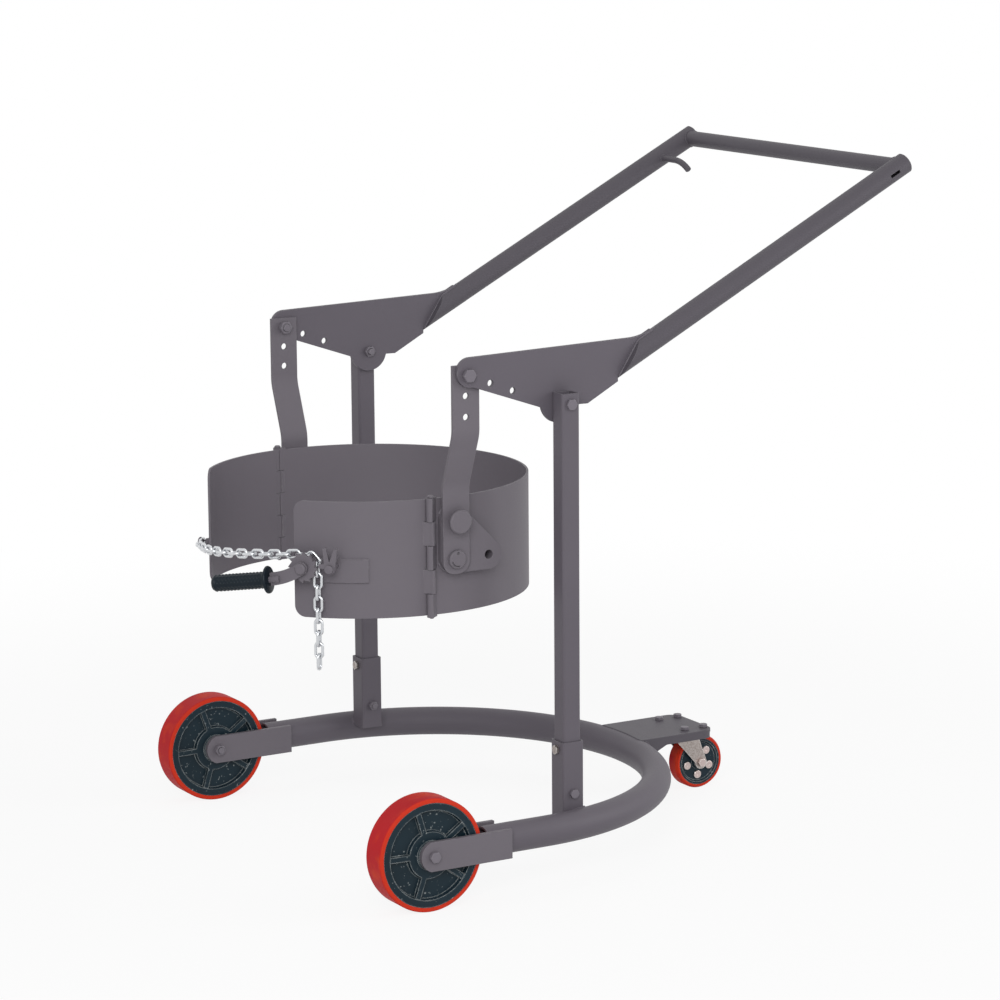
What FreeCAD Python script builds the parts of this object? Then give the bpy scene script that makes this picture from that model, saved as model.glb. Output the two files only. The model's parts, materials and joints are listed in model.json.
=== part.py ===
import FreeCAD, Part
import math
import os
from types import SimpleNamespace
import Sketcher
from FreeCAD import Placement, Rotation, Vector

# A hand trolley with a lifting cradle: a bow-shaped base on wheels, two posts, a lifting
# lever, and a ring cradle with two hinged flaps that a ratchet and chain draw shut.
# Millimetres. +X points to the rear (the handle), +Z up, the floor is Z = 0.
# Left is -Y, right is +Y, as seen by a person who pushes the trolley.

SIZES = [
    ("band_radius", 286, "cradle: inside of the band"),
    ("band_wall", 4, "cradle: band thickness"),
    ("band_height", 205, "cradle: band height"),
    ("band_lead", 10, "cradle: band axis in front of the tilt axis"),
    ("band_drop", 98, "cradle: tilt axis above the band's lower edge"),
    ("tip_angle", 36, "cradle: free ends of the flaps from the nose, in degrees"),
    ("flap_corner", 20, "cradle: rounded corners of the flaps"),
    ("hinge_lead", 8, "cradle: hinge knuckle in front of the hanger arm"),
    ("hinge_clear", 0.5, "cradle: hinge knuckle outside the band's inside"),
    ("hinge_over", 3, "cradle: hinge past the band's edges"),
    ("knuckle_radius", 8, "cradle: hinge knuckle"),
    ("hinge_pin", 8, "cradle: hinge pin diameter"),
    ("boss_spare", 0.8, "cradle: side boss past the hinge knuckles"),
    ("boss_radius", 26, "cradle: side boss round each of its holes"),
    ("trunnion_pin", 25, "cradle: tilt pin diameter"),
    ("trunnion_rim", 4, "cradle: tilt pin head past the pin"),
    ("lock_pitch", 68, "cradle: lock holes from the tilt axis"),
    ("lock_pin", 16, "lock plunger diameter"),
    ("lock_stroke", 7, "lock plunger travel"),
    ("lock_knob", 42, "lock plunger knob diameter"),
    ("lock_sleeve", 4, "lock plunger sleeve length"),
    ("arm_width", 52, "hanger arm: width"),
    ("arm_thickness", 6, "hanger arm: thickness"),
    ("arm_length", 327, "hanger arm: hanger bolt to tilt axis"),
    ("arm_head", 17, "hanger arm: above the hanger bolt"),
    ("arm_pitch", 36.5, "hanger arm: adjusting holes"),
    ("joggle", 37.5, "hanger arm: sideways step"),
    ("joggle_foot", 28, "hanger arm: step above the lock knob"),
    ("joggle_height", 118, "hanger arm: height of the step"),
    ("joggle_bend", 60, "hanger arm: bend radius of the step"),
    ("hanger_bolt", 14, "hanger bolt diameter"),
    ("plate_thickness", 8, "lever plate: thickness"),
    ("tip_radius", 26, "lever plate: rounded tip"),
    ("tip_back", 4.6, "lever plate: tip centre behind the hanger bolt"),
    ("tip_up", 4.5, "lever plate: tip centre above the hanger bolt"),
    ("plate_rise", 9, "lever plate: top edge from the tip to the handle tube"),
    ("gusset", 25, "lever plate: rounded corner above the handle tube"),
    ("lobe_radius", 37, "lever plate: round the pivot"),
    ("notch_back", 56, "lever plate: lower notch behind the pivot"),
    ("notch_drop", 8, "lever plate: lower notch below the pivot"),
    ("heel_step", 6, "lever plate: step below the handle tube"),
    ("spare_hole", 12, "adjusting hole diameter"),
    ("spare_pitch", 47, "lever plate: adjusting holes"),
    ("spare_fall", 21, "lever plate: line of adjusting holes below level, in degrees"),
    ("pivot_height", 843, "lever pivot above the floor"),
    ("pivot_reach", 182, "lever pivot behind the hanger bolts"),
    ("pivot_bolt", 12, "lever pivot bolt diameter"),
    ("hanger_rise", 61, "hanger bolts above the lever pivot"),
    ("tube_foot_x", 118, "handle tube foot behind the pivot"),
    ("tube_foot_z", 53, "handle tube foot above the pivot"),
    ("tongue", 6, "lever plate in the handle tube past the gusset"),
    ("handle_reach", 719, "crossbar behind the pivot"),
    ("handle_rise", 366, "crossbar above the pivot"),
    ("handle_tube", 38, "handle side tube diameter"),
    ("handle_wall", 2.6, "handle tube wall"),
    ("handle_overhang", 14, "side tubes past the crossbar"),
    ("bevel_angle", 57, "bevelled feet of the handle tubes, in degrees"),
    ("crossbar_tube", 30, "crossbar diameter"),
    ("eye_length", 22, "slot in the left handle tube"),
    ("eye_width", 6, "slot in the left handle tube"),
    ("peg_length", 88, "peg on the right handle tube"),
    ("peg_diameter", 12, "peg on the right handle tube"),
    ("peg_set", 76, "peg below the crossbar, along the tube"),
    ("peg_turn", 34, "peg's bend in degrees"),
    ("post_side", 35, "post: square tube"),
    ("post_wall", 3, "post: wall"),
    ("post_cap", 19, "post: above the pivot"),
    ("post_inset", 39.4, "post inside the base tube's centre line"),
    ("post_foot", 29, "post's end above the base tube's centre"),
    ("socket_wall", 3, "socket: wall"),
    ("socket_height", 137, "socket: height"),
    ("socket_foot", 7, "socket's end above the base tube's centre"),
    ("socket_bolt", 10, "post fixing bolt diameter"),
    ("socket_bolt_rise", 44, "post fixing bolt above the socket's end"),
    ("clamp_screw", 10, "clamp screw diameter"),
    ("clamp_drop", 15, "clamp screw below the socket's top"),
    ("bow_tube", 54, "base tube diameter"),
    ("bow_wall", 3.2, "base tube wall"),
    ("bow_lead", 74, "centre of the base's bend in front of the posts"),
    ("axle_lead", 240, "front axle in front of the bend's centre"),
    ("axle_diameter", 12, "front axle bolt"),
    ("leg_gap", 14, "front wheel to the end of the base tube"),
    ("strap_height", 52, "wheel strap: height"),
    ("strap_thickness", 8, "wheel strap: thickness"),
    ("strap_overlap", 40, "wheel strap: beside the base tube"),
    ("strap_nose", 24, "wheel strap: in front of the axle"),
    ("strap_crown", 18, "wheel strap: rounding of its front end"),
    ("wheel_radius", 100, "front wheel over its tread"),
    ("tread_thickness", 8, "front wheel tread"),
    ("tread_inset", 1.5, "front wheel tread inside the hub's ends"),
    ("tread_round", 3, "front wheel tread corners"),
    ("hub_radius", 25, "front wheel hub"),
    ("hub_ring", 41, "front wheel ring round the hub"),
    ("sleeve_wall", 6, "front wheel sleeve"),
    ("web_thickness", 32, "front wheel web"),
    ("rim_depth", 13, "front wheel rim"),
    ("rib_width", 10, "front wheel ribs"),
    ("rib_drop", 1.5, "front wheel ribs below the rim's face"),
    ("rib_turn", 35, "front wheel ribs turned from level, in degrees"),
    ("tail_thickness", 6, "tail plate"),
    ("tail_depth", 16, "tail plate with its folded sides"),
    ("tail_margin", 15, "tail plate beside the caster plate"),
    ("tail_lap", 3, "tail plate behind the caster plate"),
    ("tail_corner", 24, "tail plate rear corners"),
    ("tail_gusset", 30, "tail plate: gussets behind the base tube"),
    ("gusset_drop", 27, "tail plate: gussets below the folded sides"),
    ("caster_set", 134, "caster swivel behind the base tube"),
    ("caster_trail", 32, "caster wheel behind its swivel"),
    ("caster_radius", 52, "caster wheel over its tread"),
    ("caster_width", 32, "caster wheel"),
    ("caster_tread", 7, "caster tread thickness"),
    ("caster_hub_side", 2.5, "caster hub past the wheel's sides"),
    ("caster_hub", 13, "caster hub radius"),
    ("caster_web", 22, "caster web thickness"),
    ("caster_bolt", 10, "caster bolts and axle"),
    ("caster_bolt_x", 42, "caster bolt spacing along X"),
    ("caster_bolt_y", 90, "caster bolt spacing along Y"),
    ("caster_plate_t", 4, "caster plate thickness"),
    ("caster_margin_x", 8, "caster plate past its bolts along X"),
    ("caster_margin_y", 10, "caster plate past its bolts along Y"),
    ("race_height", 8, "caster bearing ring height"),
    ("race_radius", 29, "caster bearing ring radius"),
    ("king_pin", 16, "caster king pin diameter"),
    ("crown_gap", 3, "caster wheel to the fork's crown"),
    ("fork_thickness", 3, "caster fork"),
    ("fork_foot", 13, "caster fork round its axle"),
    ("rivet_ring", 26, "caster rivets from the axle"),
    ("rivet_shank", 6, "caster rivet shank"),
    ("rivet_head", 16, "caster rivet head"),
    ("rivet_turn", 23, "caster rivets turned from level, in degrees"),
    ("ratchet_inset", 28.6, "ratchet axis behind the flap's free end"),
    ("ratchet_drop", 4, "ratchet axis below the tilt axis"),
    ("ratchet_pin", 12, "ratchet axle diameter"),
    ("ratchet_teeth", 12, "ratchet tooth count"),
    ("ratchet_radius", 27, "ratchet over its teeth"),
    ("tooth_depth", 5, "ratchet tooth depth"),
    ("gear_thickness", 6, "ratchet thickness"),
    ("spool_flange", 2.5, "chain wheel flange"),
    ("base_thickness", 4, "ratchet base plate: thickness"),
    ("base_height", 40, "ratchet base plate: height"),
    ("base_drop", 30, "ratchet base plate below the ratchet axis"),
    ("base_before", 20, "ratchet base plate in front of the axis"),
    ("base_behind", 104, "ratchet base plate behind the axis"),
    ("lever_droop", 7, "ratchet lever: grip below level, in degrees"),
    ("lever_bar", 8, "ratchet lever: thickness"),
    ("lever_width", 22, "ratchet lever: width"),
    ("lever_reach", 59, "ratchet lever: axis to the grip"),
    ("lever_crank", 15, "ratchet lever: grip below the axis"),
    ("lever_lift", 5, "ratchet lever: rod outside the bar's middle"),
    ("lever_rod", 12, "ratchet lever: rod inside the grip"),
    ("grip_length", 106, "ratchet grip: length"),
    ("grip_diameter", 30, "ratchet grip: diameter"),
    ("grip_flange", 9, "ratchet grip: flange past the grip"),
    ("pawl_reach", 49, "pawl pin behind the ratchet axis"),
    ("pawl_pin", 9, "pawl pin diameter"),
    ("pawl_height", 36, "pawl's two fingers above its pin"),
    ("chain_wire", 5, "chain wire diameter"),
    ("chain_inside", 21, "chain link: inside length"),
    ("chain_opening", 8, "chain link: inside width"),
    ("chain_slack", 0.6, "chain: play between two links"),
    ("chain_gap", 1, "chain links outside the band's inner circle"),
    ("chain_lift_angle", 18, "where the chain leaves the front, in degrees"),
    ("chain_bend", 22, "chain centre line on the chain wheel"),
    ("chain_tail", 190, "hanging end of the chain"),
    ("anchor_drop", 50, "chain anchor below the chain on its wheel"),
    ("running_gap", 0.1, "pins in their holes, all round"),
    ("weld_gap", 0.3, "pieces that are welded side by side"),
    ("side_gap", 0.5, "moving pieces side by side"),
]

doc = FreeCAD.newDocument("trolley")
sheet = doc.addObject("Spreadsheet::Sheet", "Sizes")
for row, (alias, value, meaning) in enumerate(SIZES, start=1):
    sheet.set(f"A{row}", meaning)
    sheet.set(f"B{row}", str(value))
    sheet.setAlias(f"B{row}", alias)
doc.recompute()
s = SimpleNamespace(**{alias: float(sheet.get(alias)) for alias, value, meaning in SIZES})

nodes = []
SIDES = {"left": -1, "right": 1}
IDENTITY = Rotation()
UP = Vector(0, 0, 1)
RIGHT = Vector(0, 1, 0)


# Places that several pieces share. X counts from the tilt axis, Y from the middle.
# Across: band, boss, arm, lever plate, post, base tube and wheel follow each other outwards.

band_outer = s.band_radius + s.band_wall
hinge_ring = s.band_radius + s.knuckle_radius + s.hinge_clear
hinge_front = s.arm_width / 2 + s.hinge_lead + s.knuckle_radius - s.band_lead
hinge_angle = math.degrees(math.acos(hinge_front / hinge_ring))
hinge_y = math.sqrt(hinge_ring ** 2 - hinge_front ** 2)
boss_face = hinge_y + s.knuckle_radius + s.boss_spare
arm_foot = boss_face + 2 * s.side_gap
arm_foot_out = arm_foot + s.arm_thickness
arm_outer = arm_foot_out + s.joggle
arm_top_in = arm_outer - s.arm_thickness
plate_inner = arm_outer + s.side_gap
plate_outer = plate_inner + s.plate_thickness
plate_y = (plate_inner + plate_outer) / 2
post_y = plate_outer + 4 * s.side_gap + s.post_side / 2
bow_radius = math.hypot(post_y + s.post_inset, s.bow_lead)
bow_half = s.bow_tube / 2
strap_inner = bow_half + s.weld_gap
hub_length = 2 * (strap_inner - s.side_gap)
socket_side = s.post_side + 2 * (s.socket_wall + s.side_gap)

# Along the trolley
post_x = s.pivot_reach
bow_x = post_x - s.bow_lead
bow_rear = bow_x + bow_radius
axle_x = bow_x - s.axle_lead
leg_front = axle_x + s.wheel_radius + s.leg_gap
caster_x = bow_rear + s.caster_set
caster_plate_x = s.caster_bolt_x + 2 * s.caster_margin_x
caster_plate_y = s.caster_bolt_y + 2 * s.caster_margin_y
tail_end = caster_x + caster_plate_x / 2 + s.tail_lap

# Up from the floor: the caster sets the height of the base, the pivot that of the cradle
crown_top = 2 * s.caster_radius + s.crown_gap + s.fork_thickness
race_top = crown_top + s.race_height
tail_under = race_top + s.caster_plate_t
tail_top = tail_under + s.tail_thickness
bow_z = tail_top - bow_half
socket_bottom = bow_z + s.socket_foot
pivot_z = s.pivot_height
hanger_z = pivot_z + s.hanger_rise
trunnion_z = hanger_z - s.arm_length
lock_z = trunnion_z + s.lock_pitch
band_bottom = trunnion_z - s.band_drop
ratchet_z = trunnion_z - s.ratchet_drop
joggle_bottom = lock_z + s.lock_knob / 2 + s.joggle_foot
joggle_top = joggle_bottom + s.joggle_height

# Handle tubes
tube_foot = Vector(post_x + s.tube_foot_x, 0, pivot_z + s.tube_foot_z)
crossbar = Vector(post_x + s.handle_reach, 0, pivot_z + s.handle_rise)
along = (crossbar - tube_foot).normalize()
across = Vector(-along.z, 0, along.x)
handle_angle = math.degrees(math.atan2(along.z, along.x))
half_tube = s.handle_tube / 2

# Edges at the flap hinges and the ratchet on its flap, in degrees from the nose
hinge_gap = math.degrees((s.knuckle_radius + s.side_gap) / hinge_ring)
ratchet_angle = s.tip_angle + math.degrees(s.ratchet_inset / band_outer)

# Heights of the ratchet pieces above the left flap, from the flap outwards
chain_width = s.chain_opening + 2 * s.chain_wire
base_top = s.weld_gap + s.base_thickness
spool_low = base_top + s.side_gap
spool_groove = spool_low + s.spool_flange
gear_low = spool_groove + chain_width + 3 * s.side_gap
lever_low = gear_low + s.gear_thickness + s.side_gap
grip_high = lever_low + s.lever_bar / 2 + s.lever_lift
head_low = lever_low + s.lever_bar + s.side_gap


def ring(radius, degrees, height=0.0, side=-1):
    """A point on a circle round the band's axis; degrees count from the nose to that side."""
    turn = math.radians(degrees)
    return Vector(-radius * math.cos(turn), side * radius * math.sin(turn), height)


# The frame's origin lies under the middle of the overall length
ratchet_out = ring(1, ratchet_angle)
ratchet_aside = UP.cross(ratchet_out)
droop = math.radians(s.lever_droop)
lever_span = (s.lever_reach + s.grip_length) * math.cos(droop) - s.lever_crank * math.sin(droop)
grip_end = ratchet_out * (band_outer + grip_high) - ratchet_aside * lever_span
front_x = grip_end.x - s.band_lead - s.grip_diameter / 2 * abs(ratchet_out.x)
rear_x = crossbar.x + (s.handle_overhang + s.handle_wall) * along.x + half_tube * along.z
origin_x = -(front_x + rear_x) / 2


def at(x, y, z):
    """A place in the trolley's frame for a point given from the tilt axis."""
    return Vector(origin_x + x, y, z)


def cradle(point):
    """A place in the trolley's frame for a point given from the band's axis."""
    return at(point.x - s.band_lead, point.y, point.z)


def turned(direction):
    """The rotation that takes a piece's own Z to a direction."""
    return Rotation(UP, direction)


def keep(item, label):
    """Marks a finished piece and names its file."""
    item.Label = label
    nodes.append(item)
    return item


def add(kind, name, place, rotation=IDENTITY, **settings):
    """Adds a simple solid. A setting given as text is an expression, any other a value."""
    item = doc.addObject(kind, name)
    for key, value in settings.items():
        if isinstance(value, str):
            item.setExpression(key, value)
        else:
            setattr(item, key, value)
    item.Placement = Placement(place, rotation)
    return item


def fuse(name, pieces):
    item = doc.addObject("Part::MultiFuse", name)
    item.Shapes = pieces
    return item


def cut(name, base, tool):
    item = doc.addObject("Part::Cut", name)
    item.Base = base
    item.Tool = tool
    return item


def group(label, pieces):
    """One node of separate solids."""
    item = doc.addObject("Part::Compound", label)
    item.Links = pieces
    return keep(item, label)


def body(name, place, rotation=IDENTITY):
    item = doc.addObject("PartDesign::Body", name)
    item.Placement = Placement(place, rotation)
    return item


def sketch(owner, role, name, offset=0.0):
    """A sketch on one of its body's own planes, or that far in front of it."""
    item = owner.newObject("Sketcher::SketchObject", name)
    plane = next(f for f in owner.Origin.OriginFeatures if f.Role == role)
    item.AttachmentSupport = [(plane, "")]
    item.MapMode = "FlatFace"
    item.AttachmentOffset = Placement(Vector(0, 0, offset), IDENTITY)
    return item


def run(item, edges, closed=True):
    """Adds lines (two points) and arcs (three points), joined end to end."""
    first = item.GeometryCount
    for edge in edges:
        points = [Vector(x, y, 0) for x, y in edge]
        item.addGeometry(Part.LineSegment(*points) if len(points) == 2 else Part.Arc(*points))
    count = len(edges)
    for step in range(count if closed else count - 1):
        here = first + step
        after = first + (step + 1) % count
        gap, p, q = min((item.getPoint(here, p).distanceToPoint(item.getPoint(after, q)), p, q)
                        for p in (1, 2) for q in (1, 2))
        item.addConstraint(Sketcher.Constraint("Coincident", here, p, after, q))


def polygon(item, points):
    run(item, list(zip(points, points[1:] + points[:1])))


def circle(item, x, y, radius, name):
    """Adds a circle whose radius follows an expression."""
    number = item.addGeometry(Part.Circle(Vector(x, y, 0), UP, 5))
    index = item.addConstraint(Sketcher.Constraint("Radius", number, 5))
    item.renameConstraint(index, name)
    item.setExpression("Constraints." + name, radius)
    item.addConstraint(Sketcher.Constraint("DistanceX", -1, 1, number, 3, x))
    item.addConstraint(Sketcher.Constraint("DistanceY", -1, 1, number, 3, y))


def corner(x, y, along_x, along_y, radius):
    """A quarter arc at a corner, from the first side to the second, as three points."""
    k = radius * (1 - math.sqrt(0.5))
    return ((x + along_x * radius, y), (x + along_x * k, y + along_y * k), (x, y + along_y * radius))


def rounded(item, x0, x1, y0, y1, radius):
    """Adds a rectangle with round corners."""
    lower_right = corner(x1, y0, -1, 1, radius)
    upper_right = corner(x1, y1, -1, -1, radius)[::-1]
    upper_left = corner(x0, y1, 1, -1, radius)
    lower_left = corner(x0, y0, 1, 1, radius)[::-1]
    arcs = [lower_right, upper_right, upper_left, lower_left]
    edges = []
    for arc, following in zip(arcs, arcs[1:] + arcs[:1]):
        edges += [arc, (arc[-1], following[0])]
    run(item, edges)


def sector(item, inner, outer, start, end, side=-1):
    """Adds a piece of a ring round the band's axis between two angles from the nose."""
    def spot(radius, degrees):
        point = ring(radius, degrees, 0, side)
        return (point.x, point.y)
    middle = (start + end) / 2
    run(item, [
        (spot(outer, start), spot(outer, middle), spot(outer, end)),
        (spot(outer, end), spot(inner, end)),
        (spot(inner, end), spot(inner, middle), spot(inner, start)),
        (spot(inner, start), spot(outer, start)),
    ])


def pad(owner, profile, name, length, middle=False, back=False):
    item = owner.newObject("PartDesign::Pad", name)
    item.Profile = profile
    item.setExpression("Length", length)
    item.Midplane = middle
    item.Reversed = back
    return item


def drill(owner, profile, name, both=True):
    """Cuts a profile right through its body, both ways or only behind the sketch."""
    item = owner.newObject("PartDesign::Pocket", name)
    item.Profile = profile
    item.Type = 1
    item.Midplane = both
    return item


def pipe(owner, profile, path, edges, name):
    """Draws a profile along a path."""
    item = owner.newObject("PartDesign::AdditivePipe", name)
    item.Profile = profile
    item.Spine = (path, [f"Edge{n + 1}" for n in range(edges)])
    return item


def spin(owner, profile, name):
    """Turns a half profile, drawn as radius and height, round the body's own Z axis."""
    item = owner.newObject("PartDesign::Revolution", name)
    item.Profile = profile
    item.ReferenceAxis = (profile, ["V_Axis"])
    item.Angle = 360
    return item


def turning(name, points, place, direction):
    """A round piece from half-profile points (radius, height), its axis along a direction."""
    owner = body(name, place, turned(direction))
    profile = sketch(owner, "XZ_Plane", name + "_profile")
    polygon(profile, points)
    spin(owner, profile, name + "_turn")
    return owner


def hex_bolt(name, place, direction, size, length, head=0.62):
    """A hexagon bolt: its head starts at the place, its shank runs along the direction."""
    top = add("Part::Prism", name + "_head", place, turned(direction * -1), Polygon=6,
              Circumradius=f"Sizes.{size} * 0.87", Height=f"Sizes.{size} * {head}")
    stem = add("Part::Cylinder", name + "_shank", place, turned(direction),
               Radius=f"Sizes.{size} / 2", Height=length)
    return fuse(name, [top, stem])


def hex_nut(name, place, direction, size, height=0.8):
    """A hexagon nut that starts at the place and stands along the direction."""
    blank = add("Part::Prism", name + "_blank", place, turned(direction), Polygon=6,
                Circumradius=f"Sizes.{size} * 0.87", Height=f"Sizes.{size} * {height}")
    bore = add("Part::Cylinder", name + "_bore", place, turned(direction),
               Radius=f"Sizes.{size} / 2 + Sizes.running_gap / 2", Height=f"Sizes.{size} * {height}")
    return cut(name, blank, bore)


# Base: one bent tube with open legs, and the ring that trims what stands on it

bow = body("base_bow", at(0, 0, bow_z))
bow_path = sketch(bow, "XY_Plane", "bow_path")
run(bow_path, [((leg_front, -bow_radius), (bow_x, -bow_radius)),
               ((bow_x, -bow_radius), (bow_rear, 0), (bow_x, bow_radius)),
               ((bow_x, bow_radius), (leg_front, bow_radius))], closed=False)
bow_ring = sketch(bow, "YZ_Plane", "bow_ring", leg_front)
circle(bow_ring, -bow_radius, 0, "Sizes.bow_tube / 2", "outside")
circle(bow_ring, -bow_radius, 0, "Sizes.bow_tube / 2 - Sizes.bow_wall", "inside")
pipe(bow, bow_ring, bow_path, 3, "bow_pipe")
keep(bow, "base_bow")

trim_ring = add("Part::Torus", "trim_ring", at(bow_x, 0, bow_z), Radius1=bow_radius,
                Radius2="Sizes.bow_tube / 2 + Sizes.weld_gap")

straps = []
axle_bolts = []
axle_nuts = []
strap_outer = strap_inner + s.strap_thickness
for name, side in SIDES.items():
    for layer, outward in (("outer", 1), ("inner", -1)):
        y = side * (bow_radius + outward * (strap_inner + strap_outer) / 2)
        strap = body(f"strap_{name}_{layer}", at(axle_x, y, s.wheel_radius))
        outline = sketch(strap, "XZ_Plane", f"strap_{name}_{layer}_outline")
        half = s.strap_height / 2
        rear = s.wheel_radius + s.leg_gap + s.strap_overlap
        front = s.strap_crown - s.strap_nose
        run(outline, [((front, half), (-s.strap_nose, 0), (front, -half)), ((front, -half), (rear, -half)),
                      ((rear, -half), (rear, half)), ((rear, half), (front, half))])
        circle(outline, 0, 0, "Sizes.axle_diameter / 2 + Sizes.running_gap", "hole")
        pad(strap, outline, f"strap_{name}_{layer}_pad", "Sizes.strap_thickness", middle=True)
        straps.append(strap)
    inward = RIGHT * -side
    axle_bolts.append(hex_bolt(
        f"axle_{name}", at(axle_x, side * (bow_radius + strap_outer), s.wheel_radius), inward,
        "axle_diameter", f"{2 * strap_outer} + Sizes.axle_diameter * 1.1"))
    axle_nuts.append(hex_nut(
        f"axle_nut_{name}", at(axle_x, side * (bow_radius - strap_outer), s.wheel_radius), inward,
        "axle_diameter"))
group("fork_straps", straps)
group("axle_bolts", axle_bolts)
group("axle_nuts", axle_nuts)


# Front wheels: a ribbed centre on a sleeve, with a bonded tread

rim_radius = s.wheel_radius - s.tread_thickness
rim_in = rim_radius - s.rim_depth
tread_half = hub_length / 2 - s.tread_inset
rim_half = tread_half - 1
web_half = s.web_thickness / 2
sleeve_in = s.axle_diameter / 2 + s.running_gap
sleeve_out = sleeve_in + s.sleeve_wall
hub_half = hub_length / 2 - 0.6
rib_half = rim_half - s.rib_drop
for name, side in SIDES.items():
    place = at(axle_x, side * bow_radius, s.wheel_radius)
    outward = RIGHT * side
    half = hub_length / 2
    keep(turning(f"wheel_sleeve_{name}", [
        (sleeve_in, -half), (sleeve_out, -half), (sleeve_out, half), (sleeve_in, half)],
        place, outward), f"wheel_sleeve_{name}")

    bore = sleeve_out + s.running_gap / 2
    upper = [(rim_radius, rim_half), (rim_in, rim_half), (rim_in - 2, web_half),
             (s.hub_ring + 2, web_half), (s.hub_ring, rib_half), (s.hub_radius + 1, rib_half),
             (s.hub_radius, hub_half), (bore, hub_half)]
    lower = [(radius, -height) for radius, height in reversed(upper)]
    centre = turning(f"wheel_centre_{name}", lower + upper, place, outward)
    centre.Placement = Placement(place, turned(outward).multiply(Rotation(UP, s.rib_turn)))
    rib = sketch(centre, "XY_Plane", f"wheel_rib_{name}")
    half = s.rib_width / 2
    polygon(rib, [(s.hub_ring - 2, -half), (rim_in + 2, -half), (rim_in + 2, half), (s.hub_ring - 2, half)])
    rib_pad = pad(centre, rib, f"wheel_rib_pad_{name}", f"{2 * rib_half}", middle=True)
    ribs = centre.newObject("PartDesign::PolarPattern", f"wheel_ribs_{name}")
    ribs.Originals = [rib_pad]
    ribs.Axis = (rib, ["N_Axis"])
    ribs.Angle = 360
    ribs.Occurrences = 5
    centre.Tip = ribs
    keep(centre, f"wheel_centre_{name}")

    tread = body(f"wheel_tread_{name}", place, turned(outward))
    section = sketch(tread, "XZ_Plane", f"wheel_tread_section_{name}")
    inner = rim_radius + s.running_gap / 2
    low_arc = corner(s.wheel_radius, -tread_half, -1, 1, s.tread_round)
    high_arc = corner(s.wheel_radius, tread_half, -1, -1, s.tread_round)[::-1]
    run(section, [((inner, -tread_half), low_arc[0]), low_arc, (low_arc[-1], high_arc[0]), high_arc,
                  (high_arc[-1], (inner, tread_half)), ((inner, tread_half), (inner, -tread_half))])
    spin(tread, section, f"wheel_tread_turn_{name}")
    keep(tread, f"wheel_tread_{name}")


# Tail plate, caster plate and caster

tail = body("tail_blank", at(0, 0, tail_top))
tail_outline = sketch(tail, "XY_Plane", "tail_outline")
tail_half = caster_plate_y / 2 + s.tail_margin
low_arc = corner(tail_end, -tail_half, -1, 1, s.tail_corner)
high_arc = corner(tail_end, tail_half, -1, -1, s.tail_corner)[::-1]
run(tail_outline, [((bow_rear, -tail_half), low_arc[0]), low_arc, (low_arc[-1], high_arc[0]), high_arc,
                   (high_arc[-1], (bow_rear, tail_half)), ((bow_rear, tail_half), (bow_rear, -tail_half))])
pad(tail, tail_outline, "tail_pad", "Sizes.tail_depth", back=True)
tail_inside = sketch(tail, "XY_Plane", "tail_inside", -s.tail_thickness)
lip = tail_half - s.tail_thickness
polygon(tail_inside, [(bow_x, -lip), (2 * tail_end, -lip), (2 * tail_end, lip), (bow_x, lip)])
tail_hollow = tail.newObject("PartDesign::Pocket", "tail_hollow")
tail_hollow.Profile = tail_inside
tail_hollow.setExpression("Length", "Sizes.tail_depth")
for name, side in SIDES.items():
    tail_web = sketch(tail, "XZ_Plane", f"tail_web_{name}", -side * (tail_half - s.tail_thickness / 2))
    web_end = bow_rear + bow_half + s.tail_gusset
    polygon(tail_web, [(bow_rear, -s.tail_depth / 2), (web_end, -s.tail_depth / 2), (web_end, -s.tail_depth),
                       (bow_rear, -s.tail_depth - s.gusset_drop)])
    pad(tail, tail_web, f"tail_web_pad_{name}", "Sizes.tail_thickness", middle=True)
bolt_spots = [(caster_x + i * s.caster_bolt_x / 2, j * s.caster_bolt_y / 2)
              for i in (-1, 1) for j in (-1, 1)]
tail_holes = sketch(tail, "XY_Plane", "tail_holes")
for index, (x, y) in enumerate(bolt_spots):
    circle(tail_holes, x, y, "Sizes.caster_bolt / 2 + Sizes.running_gap", f"hole_{index}")
drill(tail, tail_holes, "tail_drill")
keep(cut("tail_plate", tail, trim_ring), "tail_plate")

plate = body("caster_plate", at(caster_x, 0, race_top))
plate_outline = sketch(plate, "XY_Plane", "caster_plate_outline")
rounded(plate_outline, -caster_plate_x / 2, caster_plate_x / 2, -caster_plate_y / 2, caster_plate_y / 2,
        s.caster_margin_x)
pad(plate, plate_outline, "caster_plate_pad", "Sizes.caster_plate_t")
race = sketch(plate, "XY_Plane", "caster_race")
circle(race, 0, 0, "Sizes.race_radius", "race")
pad(plate, race, "caster_race_pad", "Sizes.race_height - Sizes.side_gap", back=True)
plate_holes = sketch(plate, "XY_Plane", "caster_plate_holes")
for index, (x, y) in enumerate(bolt_spots):
    circle(plate_holes, x - caster_x, y, "Sizes.caster_bolt / 2 + Sizes.running_gap", f"hole_{index}")
circle(plate_holes, 0, 0, "Sizes.king_pin / 2 + Sizes.running_gap", "king")
drill(plate, plate_holes, "caster_plate_drill")
keep(plate, "caster_plate")

caster_bolts = []
for index, (x, y) in enumerate(bolt_spots):
    caster_bolts.append(hex_bolt(
        f"caster_bolt_{index}", at(x, y, tail_top), UP * -1, "caster_bolt",
        "Sizes.tail_thickness + Sizes.caster_plate_t + Sizes.caster_bolt"))
    caster_bolts.append(hex_nut(f"caster_nut_{index}", at(x, y, race_top), UP * -1, "caster_bolt"))
group("caster_bolts", caster_bolts)

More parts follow.
